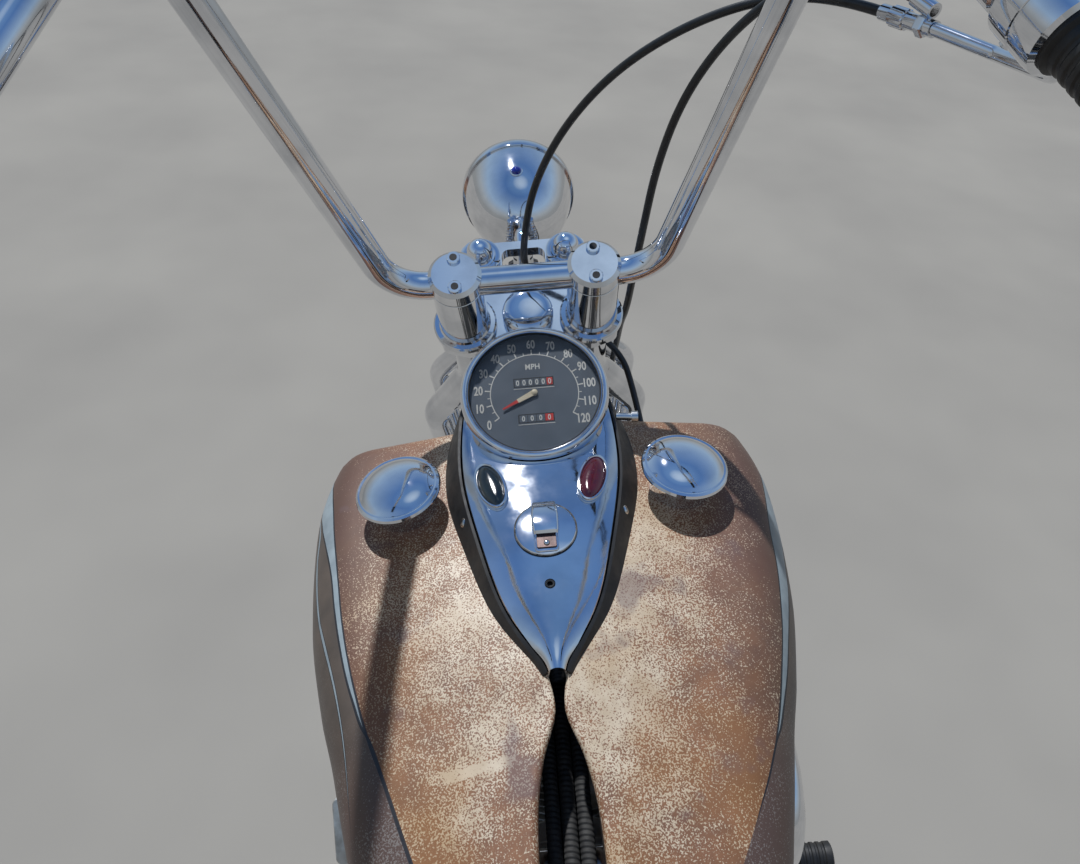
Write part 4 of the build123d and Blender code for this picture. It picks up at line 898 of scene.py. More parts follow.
def lettering(text, height, at, squeeze, weight=0.02):
    """Plain figures, upright on the dial, as a mesh centred on the frame at."""
    curve = bpy.data.curves.new("figures", "FONT")
    curve.body = text
    curve.size = height / 0.69
    curve.align_x = "CENTER"
    curve.align_y = "CENTER"
    curve.extrude = 0.12
    curve.offset = weight * height
    curve.resolution_u = 4
    mesh = curve_mesh(curve)
    across = [v.co.x for v in mesh.vertices]
    up = [v.co.y for v in mesh.vertices]
    scale = height / (max(up) - min(up))
    turn = Matrix(((0, 1, 0, 0), (-1, 0, 0, 0), (0, 0, 1, 0), (0, 0, 0, 1)))
    centre = Matrix.Translation((-(min(across) + max(across)) / 2, -(min(up) + max(up)) / 2, 0))
    mesh.transform(at @ turn @ Matrix.Diagonal((squeeze * scale, scale, 1, 1)) @ centre)
    return mesh


def bar_on(shape, frame_at, across, along, low, high, mat):
    """A plain bar on the dial."""
    a, b = along / 2, across / 2
    shape.prism(frame_at, [Vector((a, b)), Vector((-a, b)), Vector((-a, -b)), Vector((a, -b))], low, high, mat)


def make_instrument():
    """The speedometer's rim, dial, figures, counters and needle, and its glass."""
    chrome, black, white, red, dark, cream = range(6)
    meter = Shape()
    meter.lathe(FACE, [(56, -21.5), (57.5, -8.2), (65.3, -7.6), (65.4, -2.4), (65.0, 0.4), (63.9, 3.0), (62.2, 4.7),
                       (60.8, 5.0), (59.7, 4.4), (59.0, 3.0), (58.4, 2.8), (58.2, -3.4), (54, -4.2), (54, -21.5)],
                chrome, 96, closed=True)
    meter.lathe(FACE, [(57.1, 1.2), (58.5, 1.2), (58.5, 2.9), (57.6, 2.9), (57.1, 2.2)], dark, 96, closed=True)
    meter.lathe(FACE, [(0, -4.2), (58.1, -4.2), (58.1, -3.0), (0, -3.0)], black, 96)
    # the scale: an arc, its marks and its figures
    half_sweep, arc_outer, arc_inner, figure_ring = 124.0, 39.2, 38.4, 49.6
    turns = [math.radians(angle) for angle in spaced(-half_sweep, half_sweep, 63)]
    arc = [Vector((arc_outer * math.cos(a), -arc_outer * math.sin(a))) for a in turns]
    meter.prism(FACE, arc + [point * (arc_inner / arc_outer) for point in reversed(arc)], -3.1, -2.85, white)
    for index, angle in enumerate(spaced(-half_sweep, half_sweep, 25)):
        width, reach = (0.7, 2.8) if index % 2 else (1.1, 5.0)
        bar_on(meter, shift(spin(FACE, -angle), 38.8 + reach / 2, 0, 0), width, reach, -3.1, -2.8, white)
    for index, angle in enumerate(spaced(-half_sweep, half_sweep, 13)):
        turn = math.radians(angle)
        at = shift(FACE, figure_ring * math.cos(turn), -figure_ring * math.sin(turn), -2.95)
        meter.take(lettering(str(index * 10), 9.0, at, 0.66, 0.034), white)
    meter.take(lettering("MPH", 5.6, shift(FACE, 26.6, 0, -2.95), 0.85), white)
    # the two counters
    for up, width, height, count in ((11.0, 34.0, 7.5, 6), (-24.3, 30.0, 7.0, 4)):
        bar_on(meter, shift(FACE, up, 0, 0), width + 1.6, height + 1.6, -3.3, -2.9, dark)
        cell = width / count
        for index in range(count):
            spot = shift(FACE, up, width / 2 - cell * (index + 0.5), -2.9)
            bar_on(meter, spot, cell - 0.5, height - 0.4, -0.1, 0.05, red if index == count - 1 else black)
            meter.take(lettering("0", height * 0.72, shift(spot, 0, 0, 0.06), 0.8), white)
        bar_on(meter, shift(FACE, up - height / 2 - 2.2, 0, 0), width + 2, 0.5, -3.1, -2.8, white)
    needle = spin(FACE, 117)
    for near, near_half, far, far_half, mat in ((0, 2.6, 17, 1.9, cream), (17, 1.6, 32, 0.7, red)):
        corners = ((far, far_half), (near, near_half), (near, -near_half), (far, -far_half))
        meter.prism(needle, [Vector(corner) for corner in corners], -1.4, -0.8, mat)
    meter.lathe(FACE, [(0, -3.6), (2.8, -3.6), (2.8, -0.6), (2.2, -0.1), (0, 0.2)], cream, 32)
    dress("speedometer_dial", meter, ["chrome", "dial_black", "dial_white", "dial_red", "dark_hole", "needle_cream"],
          "frame", ["speedometer"])
    glass = Shape()
    glass.lathe(FACE, [(0, 1.7), (57, 1.7), (57, 2.3), (50, 2.8), (38, 3.1), (20, 3.3), (0, 3.4)], 0, 72)
    dress("speedometer_glass", glass, ["clear_glass"], "frame", ["meter_glass"])


def oval(grow):
    """The outline of a warning lamp, made larger all round by grow."""
    count = 56
    turns = [2 * math.pi * k / count for k in range(count)]
    return [Vector(((22.5 + grow) * math.cos(turn), (9.5 + grow) * math.sin(turn))) for turn in turns]


def make_dash():
    """The warning lamps, the ignition switch and its cover, and the trip knob."""
    lamps = Shape()
    for side in (1, -1):
        at = seat((169, side * 42, 870.5), -side * 8.5, -8, side * 16)
        rim = [(0.4, -6), (2.9, 1.6), (3.0, 3.2), (2.2, 4.6), (1.0, 4.9), (0.1, 4.0), (-0.2, 2.6), (-0.2, -6)]
        lamps.rings([lift(at, oval(grow), height) for grow, height in rim], 0, closed=True)
        dome = [(-0.3, -5), (-0.3, 3.2), (-2.0, 4.6), (-4.5, 5.6), (-7.5, 6.2)]
        lamps.rings([lift(at, oval(grow), height) for grow, height in dome], 1 if side > 0 else 2)
    dress("warning_lenses", lamps, ["chrome", "dark_lens", "red_lens"], "frame", ["warning_lamps"])
    chrome, dark, brown, aged = range(4)
    switch = Shape()
    at = seat((119, 0, 867.5), 0, -9)
    top = shift(at, 0, 0, -3.5)
    switch.lathe(at, [(0, -5), (24.4, -5), (24.4, 1.6), (23.8, 2.3), (22.6, 2.6), (0, 2.8)], chrome, 72)
    switch.lathe(at, [(24.2, -5), (25.2, -5), (25.2, 1.7), (24.2, 1.7)], dark, 72, closed=True)
    lid = [(25.2, 9.4, 5.0, 6.8), (23.0, 9.9, 6.0, 8.6), (18, 10.6, 6.0, 11.0), (8, 11.2, 6.0, 13.4),
           (-1, 10.8, 6.0, 13.8), (-6.6, 10.2, 6.0, 13.2), (-8.2, 9.8, 6.0, 11.0)]
    rows = []
    for fore, half, low, high in lid:
        ring = outline([(-half, low, 0.3), (half, low, 0.3), (half * 0.94, high, 2.2), (-half * 0.94, high, 2.2)], 5)
        rows.append([top @ Vector((fore, p.x, p.y)) for p in ring])
    switch.rings(rows, chrome)
    arms = outline([(-22.4, 9.4, 3), (-22.4, -9.4, 3), (4, -10.4, 2), (4, 10.4, 2)], 5)
    switch.prism(top, arms, 6.0, 7.6, chrome, 0.6)
    for side in (1, -1):
        wall = [Vector((x, side * y)) for x, y in ((-21, 8.2), (-21, 9.2), (-7, 10.2), (-7, 9.2))]
        switch.prism(top, wall, 6.0, 9.6, chrome, 0.3)
    switch.prism(shift(top, -14, 0, 0), box_outline(11.5, 15.5, 1.4), 7.2, 8.8, brown, 0.4)
    switch.repeat([shift(top, -15.6, 0, 8.7)], round_screw(2.4, 1.8), aged)
    for start, end, radius in (((245.7, -71.4, 873), (243.5, -86.5, 873), 3.4),
                               ((243.8, -84.6, 873), (243.3, -90.4, 873), 5.0)):
        switch.tube(PARK, [start, end], radius, aged, steps=20)
    lock = seat((71, 0, 858.4), 0, -9)
    switch.lathe(lock, [(0, -4), (3.9, -4), (3.9, 0.4), (3.0, 0.9), (2.2, 0.6), (2.2, -2), (0, -2)], dark, 28)
    screws = [place(PARK, (147, side * 66.5, 854), (0.1, side, 0.3)) for side in (1, -1)]
    switch.repeat(screws, round_screw(4.4, 2.6), aged)
    dress("ignition_cover", switch, ["chrome", "dark_hole", "brown_plate", "aged_chrome"], "frame",
          ["ignition_switch"])
    paint("dash", "chrome")
    paint("dash_trim", "black_rubber")


# Bars, risers, controls


def bar_frame(side, back):
    """A frame on the bar, back from its end on the left, side 1, or on the right, its Z toward the end."""
    end, before = Vector(BAR_RUN[2]), Vector(BAR_RUN[1])
    along = (end - before).normalized()
    spot = end - along * back
    return place(PARK, (spot.x, side * spot.y, spot.z), (along.x, side * along.y, along.z), (0, 0, 1))


def add_throttle(grip):
    """The twist grip's housing, elbow and cable adjuster."""
    house = bar_frame(-1, GRIP_LENGTH + 36)
    grip.lathe(house, [(13.0, 0), (21.5, 0), (23.8, 2), (24, 6), (24, 17), (23.2, 17.6), (23.2, 18.6), (24, 19.2),
                       (24, 31), (23.5, 35), (21, 37), (13.0, 37)], 1, 48, closed=True)
    grip.tube(PARK, ELBOW, 4.2, 1, bend=14, steps=20)
    grip.tube(PARK, [ELBOW[-1], ADJUSTER_END], 5.2, 1, steps=24)
    foot = Vector(ELBOW[-1])
    along = (Vector(ADJUSTER_END) - foot).normalized()
    grip.prism(place(PARK, foot + along * 6, along), polygon(7.2, 6), 0, 7, 1, 1.0)
    knurl = [p * (1.0 if k % 2 else 0.92) for k, p in enumerate(polygon(6.6, 32))]
    grip.prism(place(PARK, foot + along * 24, along), knurl, 0, 14, 1, 0.8)
    screws = [spin(shift(spin(house, a), 23.2, 0, 10), 90, "Y") for a in (20, 160)]
    grip.repeat(screws, socket_screw(3.2, 2.4), 1)


def make_bars():
    """The handlebar, grips, brake lever, risers and the nut on the top tree."""
    bars = Shape()
    run = mirrored(BAR_RUN)[::-1] + BAR_RUN
    bars.tube(PARK, run, BAR_R, 0, bend=45, steps=36, step=4)
    dress("handlebar_tube", bars, ["chrome"], "steering", ["handlebar"])
    for side, name in ((1, "left"), (-1, "right")):
        grip = Shape()
        profile = [(13.0, 0), (19.5, 0), (19.8, 3), (17.2, 5)]
        profile += grooves(9.0, GRIP_LENGTH - 10, 7.0, 17.2, 16.2, 1.2, 4.2)
        profile += [(17.4, GRIP_LENGTH - 4), (19.6, GRIP_LENGTH - 1), (20, GRIP_LENGTH + 4), (16, GRIP_LENGTH + 6.2),
                    (0, GRIP_LENGTH + 6.2), (0, GRIP_LENGTH + 0.6), (13.0, GRIP_LENGTH + 0.6)]
        grip.lathe(bar_frame(side, GRIP_LENGTH), profile, 0, 40)
        if side < 0:
            add_throttle(grip)
        dress("grip_sleeve_" + name, grip, ["black_rubber", "chrome"], "steering", ["grip_" + name])
    lever = Shape()
    end, along = Vector(BAR_RUN[2]), (Vector(BAR_RUN[2]) - Vector(BAR_RUN[1])).normalized()
    root, tip = end - along * (GRIP_LENGTH + 53), end - along * 6
    clamp = bar_frame(-1, GRIP_LENGTH + 66)
    lever.lathe(clamp, [(12.9, 0.5), (18.6, 0.5), (20, 2), (20, 24), (18.6, 25.5), (12.9, 25.5)], 0, 40, closed=True)
    blade = [(root.x + 8, -root.y - 14, root.z + 2), (root.x + 34, -root.y - 34, root.z - 10),
             (tip.x + 34, -tip.y - 50, tip.z - 6)]
    lever.tube(PARK, blade, 6.0, 0, bend=20, steps=20, ends=(1.0, 0.72))
    lever.lathe(shift(PARK, *blade[-1]), [(0, -6.5), (4.5, -4.7), (6.5, 0), (4.5, 4.7), (0, 6.5)], 0, 20)
    pivot = place(PARK, blade[0], (0, 0, 1))
    lever.repeat([shift(pivot, 0, 0, 5)], hex_bolt(8, 4, 1.2))
    dress("brake_lever_blade", lever, ["chrome"], "steering", ["brake_lever"])
    risers = Shape()
    spots = []
    for side in (1, -1):
        at = shift(STEER, RISER_U, side * RISER_Y, 0)
        risers.lathe(at, [(0, 0.3), (30, 0.3), (31, 1.4), (31, 6.4), (29.4, 8), (25.4, 8.6), (24, 10.5),
                          (24, BAR_W - 1), (23.2, BAR_W - 0.3), (23.2, BAR_W + 0.3), (24, BAR_W + 1),
                          (24, BAR_W + 14.6), (20.6, BAR_W + 18), (0, BAR_W + 18)], 0, 64)
        seam = [(23, BAR_W - 0.9), (23.6, BAR_W - 0.9), (23.6, BAR_W + 0.9), (23, BAR_W + 0.9)]
        risers.lathe(at, seam, 1, 64, closed=True)
        for fore in (-14.5, 14.5):
            spots.append(shift(at, fore, 0, BAR_W + 17.6))
            # a black disc over each screw's socket: painted shade of the socket's hollow
            risers.lathe(spots[-1], [(3.4, 0.5), (3.4, 3.9), (0, 3.9), (0, 0.5)], 1, 20)
    risers.repeat(spots, socket_screw(6.2, 3.6))
    dress("riser_columns", risers, ["chrome", "dark_hole"], "steering", ["risers"])
    tree = Shape()
    tree.lathe(STEER, [(0, 0.2), (24.4, 0.2), (25, 1), (25, 9.6), (24.2, 12.4), (21.6, 14.8), (17, 16.4), (9, 17.4),
                       (0, 17.7)], 0, 64)
    for side in (1, -1):
        tree.repeat([shift(STEER, 26, side * 74, 0)], socket_screw(5, 4))
    dress("tree_nut", tree, ["chrome"], "steering")
    paint("top_tree", "chrome")


# Headlamp


LAMP = PARK @ Matrix.Translation((588, 0, 919)) @ Matrix.Rotation(math.radians(90), 4, "Y")


def make_lamp():
    """The headlamp's bowl, jewel and lens."""
    shell = Shape()
    bowl = [(0, -70), (9, -69.4), (20, -66), (32, -58.5), (42, -48), (50, -34), (56, -16), (59, -4), (61.2, 8),
            (62, 13), (52.2, 13), (52.2, 15)]
    rim = [(64, 13), (65, 16), (65, 24), (63.4, 29), (60, 32.6), (56, 34.2), (52.4, 33.6), (52.0, 30), (52.0, 16),
           (0, 12.0)]
    shell.lathe(LAMP, bowl + rim, 0, 96)
    jewel = place(PARK, (558, 0, 970), (-0.32, 0, 0.95))
    shell.lathe(jewel, [(0, -3), (7, -3), (6.9, 0.9), (6.2, 1.6), (0, 1.6)], 0, 32)
    shell.lathe(jewel, [(0, 1.4), (5.4, 1.4), (5.0, 3.4), (3.2, 4.9), (0, 5.5)], 1, 28)
    foot = shift(PARK, 584, 0, 859)
    shell.lathe(foot, [(0, -7), (11, -7), (12, -4), (12, 4), (9, 8), (0, 8)], 0, 36)
    screw = spin(shift(PARK, 608, 0, 854), 180, "X")
    shell.repeat([screw], round_screw(4, 2.4))
    dress("lamp_bowl", shell, ["chrome", "blue_jewel"], "steering", ["lamp_shell"])
    lens = Shape()
    lens.lathe(LAMP, [(0, 14.6), (14, 15.0), (34, 19), (51.6, 29), (51.6, 33.6), (46, 38), (34, 42), (18, 44.4),
                      (0, 45)], 0, 72)
    for y in range(-40, 41, 10):
        half = math.sqrt(49 ** 2 - y ** 2)
        rise = [(x, y, 44.2 - (x * x + y * y) / 190.0) for x in (-half, -half / 2, 0, half / 2, half)]
        lens.tube(LAMP, rise, 1.1, 0, steps=8)
    dress("lamp_glass_front", lens, ["lamp_glass"], "steering", ["lamp_lens"])
    paint("lamp_bracket", "chrome")


# Fork


def make_fork():
    """The fork's springs, nuts and cable ends, and the finishes of its legs."""
    springs = Shape()
    upper_high, upper_low, lower_high = -20.4, CROWN_W + 9.4, CROWN_W - 9.4
    seat_height = 5
    for side in (1, -1):
        at = shift(STEER, SPRING_U, side * SPRING_Y, 0)
        springs.lathe(at, [(0, 29), (4, 28.6), (8, 27), (11, 24), (12.6, 20), (13, 16), (13, 11.6), (14.8, 11.2),
                           (15.4, 10.2), (19, 9.2), (20, 8.2), (20, 1.4), (19.2, 0.4), (0, 0.4)], 0, 56)
        springs.tube(STEER, [(SPRING_U, side * SPRING_Y, -21), (SPRING_U, side * SPRING_Y, CROWN_W - 60)], 6, 0,
                     steps=20)
        for edge in (upper_high, upper_low + seat_height):
            springs.lathe(at, [(0, edge - 5), (16.6, edge - 5), (17, edge - 4), (17, edge - 1), (16.6, edge),
                               (0, edge)], 0, 40)
        springs.add_coil(shift(at, 0, 0, upper_low + seat_height), 11, 0.0142,
                         (upper_high - upper_low - 2 * seat_height) * MM, 0.0027)
        low = lower_high
        springs.add_coil(shift(at, 0, 0, low - 38), 4, 0.0122, 0.036, 0.0024)
        springs.lathe(at, [(0, low - 45), (13, low - 45), (14.6, low - 43), (14.6, low - 40.6), (0, low - 40.6)], 0, 32)
        springs.prism(at, polygon(9.6, 6), low - 56, low - 45.2, 0, 1.0)
    dress("fork_spring_coils", springs, ["chrome"], "steering", ["fork_springs"])
    bolts = Shape()
    leg_bolts = [place(STEER, (u, side * 127, w), (0, side, 0))
                 for side in (1, -1) for u, w in ((-6, -640), (28, -646))]
    axle_nuts = [place(STEER, (AXLE_U, side * 96, AXLE_W), (0, side, 0)) for side in (1, -1)]
    bolts.repeat(leg_bolts, hex_bolt(17, 7, 2))
    bolts.repeat(axle_nuts, hex_bolt(26, 11, 2.5))
    dress("fork_nuts", bolts, ["chrome"], "steering")
    for node in ("rear_legs", "front_legs", "fork_links"):
        paint(node, "chrome")
    paint("brake_plate", "polished_alloy")
    ends = Shape()
    foot, before = Vector(BRAKE_CABLE[-1]), Vector(BRAKE_CABLE[-2])
    aim = (before - foot).normalized()
    ends.tube(PARK, [foot, foot + aim * 26], 5.0, 0, steps=20)
    ends.prism(place(PARK, foot + aim * 2, aim), polygon(6.8, 6), 0, 6, 0, 0.8)
    ends.tube(PARK, [BRAKE_CABLE[0], Vector(BRAKE_CABLE[0]) + Vector((17, 6, 4))], 5.2, 0, steps=20)
    dress("cable_ends", ends, ["chrome"], "steering")


# Wheels


def wheel_frame(axle):
    """A frame on an axle, its Z to the rider's left and its X forward."""
    return place(PARK, axle, (0, 1, 0), (1, 0, 0))


def make_tyre(name, axle, ring, crown, rim, columns, count, block, body, node):
    """A tyre with rows of tread blocks. Its section has its middle at the radius ring and reaches out by crown."""
    at = wheel_frame(axle)
    carcass = crown - 3.2
    tread_edge, shoulder = 0.95, 1.05
    limit = math.acos(-(ring - rim - 0.4) / crown)
    profile = []
    for a in spaced(-limit, limit, 41):
        reach = carcass
        if abs(a) >= tread_edge:
            reach = crown - 0.8 - 2.4 * max(0.0, shoulder - abs(a)) / 0.1
        if 1.45 < abs(a) < 1.52 or 1.8 < abs(a) < 1.86:
            reach += 0.8
        profile.append((max(rim + 0.5, ring + reach * math.cos(a)), reach * math.sin(a)))
    tyre = Shape()
    tyre.lathe(at, profile, 0, 128, closed=True)
    lug = Shape()
    lug.prism(LOOSE, box_outline(block[0], block[1], 1.2, 1), -1.5, 3.0, 0, 0.5)
    spots = []
    for column, a in enumerate(columns):
        for k in range(count):
            turn = 2 * math.pi * (k + (column % 2) * 0.5) / count
            out = Vector((math.cos(turn), math.sin(turn), 0))
            spot = at @ Matrix.Translation(out * (ring + carcass * math.cos(a)) + Vector((0, 0, carcass * math.sin(a))))
            aim = out * math.cos(a) + Vector((0, 0, math.sin(a)))
            along = Vector((-math.sin(turn), math.cos(turn), 0))
            turned = Matrix((along, aim.cross(along), aim)).transposed().to_4x4()
            spots.append(spot @ turned)
    tyre.repeat(spots, lug, finish="tyre_rubber")
    dress(name, tyre, ["tyre_rubber"], body, [node])


def make_wheel(name, axle, rim, width, depth, hub_r, hub_half, flange, body, node, extra):
    """A laced wheel: rim, hub, spokes and their nipples, and what extra adds."""
    at = wheel_frame(axle)
    wheel = Shape()
    half = width / 2
    wheel.lathe(at, symmetric([
        (rim - 0.4, half - 5), (rim - 1.4, half - 1.6), (rim - 4.4, half), (rim - 7.4, half - 1.8),
        (rim - 8.0, half - 5), (rim - depth * 0.62, half - 8.5), (rim - depth, width * 0.2)]), 0, 144, closed=True)
    waist = (hub_r - 3, 0)
    hub = symmetric([
        (10.2, hub_half), (hub_r - 4, hub_half), (hub_r, hub_half - 2), (flange - 3, hub_half - 6),
        (flange, hub_half - 7.6), (flange, hub_half - 10.4), (flange - 3, hub_half - 12), (hub_r + 3, hub_half - 14),
        (hub_r, hub_half - 20)])
    hub.insert(len(hub) // 2, waist)
    wheel.lathe(at, hub, 1, 72, closed=True)
    foot_r, foot_y, head_r, head_y = flange - 5, hub_half - 9, rim - depth + 2, 4
    spokes_each = 9
    turn, cross = 360 / spokes_each, 24
    spots, ends = [], []
    length = 0
    for side in (-1, 1):
        for lean in (-1, 1):
            for number in range(spokes_each):
                a = math.radians(side * turn / 4 + number * turn)
                b = math.radians(side * turn / 4 + lean * cross + number * turn)
                foot = Vector((foot_r * math.cos(a), foot_r * math.sin(a), side * foot_y))
                head = Vector((head_r * math.cos(b), head_r * math.sin(b), side * head_y))
                length = (head - foot).length
                spots.append(place(at, foot, head - foot, (0, 0, 1)))
                ends.append(shift(spots[-1], 0, 0, length - 16))
    spoke = Shape()
    spoke.tube(LOOSE, [(0, 0, -3), (0, 0, length)], 2.2, steps=10)
    wheel.repeat(spots, spoke, 2)
    nipple = Shape()
    nipple.lathe(LOOSE, [(0, 0), (3.0, 0), (3.6, 1), (3.6, 11), (4.6, 12), (4.6, 15), (0, 15)], steps=10)
    wheel.repeat(ends, nipple, 2)
    extra(wheel, at)
    dress(name, wheel, ["chrome", "polished_alloy", "chrome", "steel"], body, [node])


def front_extra(wheel, at):
    """The front brake drum's lip."""
    wheel.lathe(at, [(10.2, -55), (60, -55), (64, -54), (66, -52), (66, -48.2), (10.2, -48.2)], 1, 72, closed=True)


def rear_extra(wheel, at):
    """The rear drum and the bolted chain ring."""
    wheel.lathe(at, [(10.2, 60.2), (85, 60.2), (88, 62), (88, 78), (85, 80), (10.2, 80)], 1, 96, closed=True)
    teeth = []
    count = 47
    for k in range(count):
        for share, reach in ((0.0, 107.5), (0.26, 107.5), (0.42, 111.8), (0.58, 111.8), (0.84, 107.5)):
            a = 2 * math.pi * (k + share) / count
            teeth.append(Vector((reach * math.cos(a), reach * math.sin(a))))
    wheel.prism(at, teeth, 80.1, 87.4, 3)
    bolts = [shift(spin(at, 360 * k / 6), 62, 0, 87.2) for k in range(6)]
    wheel.repeat(bolts, hex_bolt(12, 5, 1.5), 3, "steel")


def make_wheels():
    """Both tyres and both laced wheels."""
    make_tyre("front_tyre_tread", FRONT_AXLE, 302.5, 46.0, 268.0, (-0.78, -0.44, -0.14, 0.14, 0.44, 0.78), 84,
              (17, 10), "front_wheel", "front_tyre")
    make_tyre("rear_tyre_tread", REAR_AXLE, 260.0, 65.0, 205.0, (-0.84, -0.5, -0.17, 0.17, 0.5, 0.84), 66,
              (24, 17), "rear_wheel", "rear_tyre")
    make_wheel("front_wheel_laced", FRONT_AXLE, 268.0, 58, 16, 34, 48, 62, "front_wheel", "front_rim", front_extra)
    make_wheel("rear_wheel_laced", REAR_AXLE, 205.0, 88, 20, 40, 60, 74, "rear_wheel", "rear_rim", rear_extra)


# Engine and gearbox


CRANK = (60.0, 0.0, 290.0)
# Where an exhaust port opens, in the frame of the front cylinder
PORT = (83, -45, 300)


def bank(side):
    """A frame on the crank with its Z up the bore of the front cylinder, side 1, or of the rear one, side -1."""
    return PARK @ Matrix.Translation(CRANK) @ Matrix.Rotation(math.radians(22.5 * side), 4, "Y")


def port_frame(side):
    """A frame on the mouth of a cylinder's exhaust port, its Z out of the port."""
    return spin(shift(bank(side), side * PORT[0], PORT[1], PORT[2]), 90 * side, "Y")


def add_cylinder(name, side):
    """A finned cylinder with its head, rocker cover, exhaust port and spark plug."""
    at = bank(side)
    shape = Shape()
    alloy, chrome, rubber = range(3)
    profile = [(0, 145), (58, 145), (58, 150)]
    level = 151.0
    while level < 318:
        reach = 75.6 if level < 262 else 81.6
        profile += [(58, level), (reach - 1, level + 0.6), (reach, level + 1.4), (reach - 1, level + 2.2),
                    (58, level + 3)]
        level += 8.4
    profile += [(58, 330), (0, 330)]
    shape.lathe(at, profile, alloy, 72)
    # each cylinder keeps to its own side of the crank
    cut_at = PARK @ Vector((CRANK[0] + side * 2.2, 0, CRANK[2]))
    normal = (PARK.to_3x3() @ Vector((side, 0, 0))).normalized()
    cut = bmesh.ops.bisect_plane(shape.bm, geom=shape.bm.verts[:] + shape.bm.edges[:] + shape.bm.faces[:],
                                 plane_co=cut_at, plane_no=normal, clear_inner=True)
    bmesh.ops.contextual_create(shape.bm, geom=[e for e in cut["geom_cut"] if isinstance(e, bmesh.types.BMEdge)])
    cover = shift(at, -2, -10, 0)
    shape.prism(cover, box_outline(124, 176, 26, 6), 330.2, 345.6, alloy, 1.2)
    levels = [(112, 164, 24, 345.8), (112, 164, 24, 378), (106, 158, 22, 385), (94, 146, 18, 390.6),
              (80, 132, 14, 391.8)]
    rows = [lift(cover, box_outline(width, depth, radius, 6), height) for width, depth, radius, height in levels]
    shape.rings(rows, chrome)
    for xs, ys, height, bolt in (((-57, 57), (-58, 0, 58), 345.4, (10, 5.5, 1.5)),
                                 ((-24, 24), (-44, 44), 391.4, (13, 5, 1.5))):
        spots = [shift(cover, x, y, height) for x in xs for y in ys]
        shape.repeat(spots, hex_bolt(*bolt), chrome)
    port = spin(shift(at, side * 60, PORT[1], PORT[2]), 90 * side, "Y")
    shape.lathe(port, [(0, -20), (30, -20), (30, 16), (29, 20), (0, 20)], alloy, 40)
    plug = spin(shift(at, side * 30, 52, 305), -62, "X")
    shape.lathe(plug, [(0, 0), (10, 0), (10, 36), (7, 38), (7, 52), (5, 56), (0, 57)], rubber, 20)
    dress(name + "_fins", shape, ["cast_alloy", "chrome", "black_rubber"], "frame", [name])


def screws_round(centre, radius, y, out, angles):
    """Frames for screws on a circle about a centre on the flank of the engine, facing out."""
    return [place(PARK, (centre[0] + radius * math.cos(a), y, centre[1] + radius * math.sin(a)), (0, out, 0))
            for a in angles]


def make_engine():
    """The two cylinders, the screws of the cases and the air cleaner's cover."""
    add_cylinder("front_bank", 1)
    add_cylinder("rear_bank", -1)
    paint("crankcase", "cast_alloy")
    paint("cam_cover", "polished_alloy")
    paint("gearbox", "cast_alloy")
    paint("primary_cover", "polished_alloy")
    paint("carburettor", "cast_alloy")
    bolts = Shape()
    spots = [(-36, 312), (-22, 340), (60, 326), (142, 340), (166, 300), (146, 234), (22, 216), (-30, 246)]
    cam = [place(PARK, (x, -106.2, z), (0, -1, 0)) for x, z in spots]
    bolts.repeat(cam, socket_screw(5.2, 3.2))
    rim = [(140, 290), (110, 372), (-40, 390), (-150, 397), (-255, 397), (-336, 366), (-360, 292), (-336, 216),
           (-255, 187), (-150, 186), (-40, 193), (110, 210)]
    primary = [place(PARK, (x, 143.2, z), (0, 1, 0)) for x, z in rim]
    bolts.repeat(primary, socket_screw(5.2, 3.4))
    derby = place(PARK, (-255, 151.8, 292), (0, 1, 0))
    bolts.lathe(derby, [(0, 0), (66, 0), (66, 1.6), (60, 4), (30, 5.6), (0, 6)], 0, 72)
    on_derby = [shift(spin(derby, 360 * k / 5), 56, 0, 3.6) for k in range(5)]
    bolts.repeat(on_derby, socket_screw(4.4, 2.6))
    case = screws_round((CRANK[0], CRANK[2]), 100, 72.2, 1, (0.2, 0.7, 2.4, 2.9, 3.6, 5.8))
    bolts.repeat(case, hex_bolt(12, 6, 1.5))
    box = screws_round((-320, 300), 64, -105.8, -1, (0.3, 1.35, 2.4, 3.45, 4.5, 5.55))
    bolts.repeat(box, hex_bolt(10, 5, 1.4))
    dress("engine_screws", bolts, ["chrome"], "frame")
    cleaner = Shape()
    at = place(PARK, (60, -168.4, 570), (0, -1, 0))
    cleaner.lathe(at, [(0, 0), (84, 0), (84, 4), (80, 5), (80, 12), (83, 13), (84, 15), (84, 28), (81, 34), (74, 38),
                       (56, 39.6), (20, 40), (0, 40)], 0, 96)
    cleaner.repeat([shift(at, 0, 0, 39.6)], hex_bolt(14, 4, 1.4))
    for k in range(3):
        corner = at @ Matrix.Rotation(2 * math.pi * k / 3 + 0.5, 4, "Z") @ Matrix.Translation((62, 0, 38.6))
        cleaner.repeat([corner], round_screw(4.4, 2.4))
    dress("air_cleaner_cover", cleaner, ["chrome"], "frame", ["air_cleaner"])


def arc_points(centre, radius, start, end):
    """Points along an arc, about two millimetres apart."""
    count = max(2, int(abs(end - start) * radius / 2))
    turns = [start + (end - start) * k / count for k in range(count + 1)]
    return [centre + Vector((math.cos(a), math.sin(a))) * radius for a in turns]


def chain_link(plates, gap_ends, radius, half, sides, step):
    """One link: two plates at the heights plates and a pin or a roller at each end."""
    link = Shape()
    for y in plates:
        link.prism(LOOSE, box_outline(step + 10, 10, 4.8, 3), y, y + 1.4)
    for x in gap_ends:
        link.lathe(shift(LOOSE, x, 0, 0), [(0, -half), (radius, -half), (radius, half), (0, half)], steps=sides)
    return link


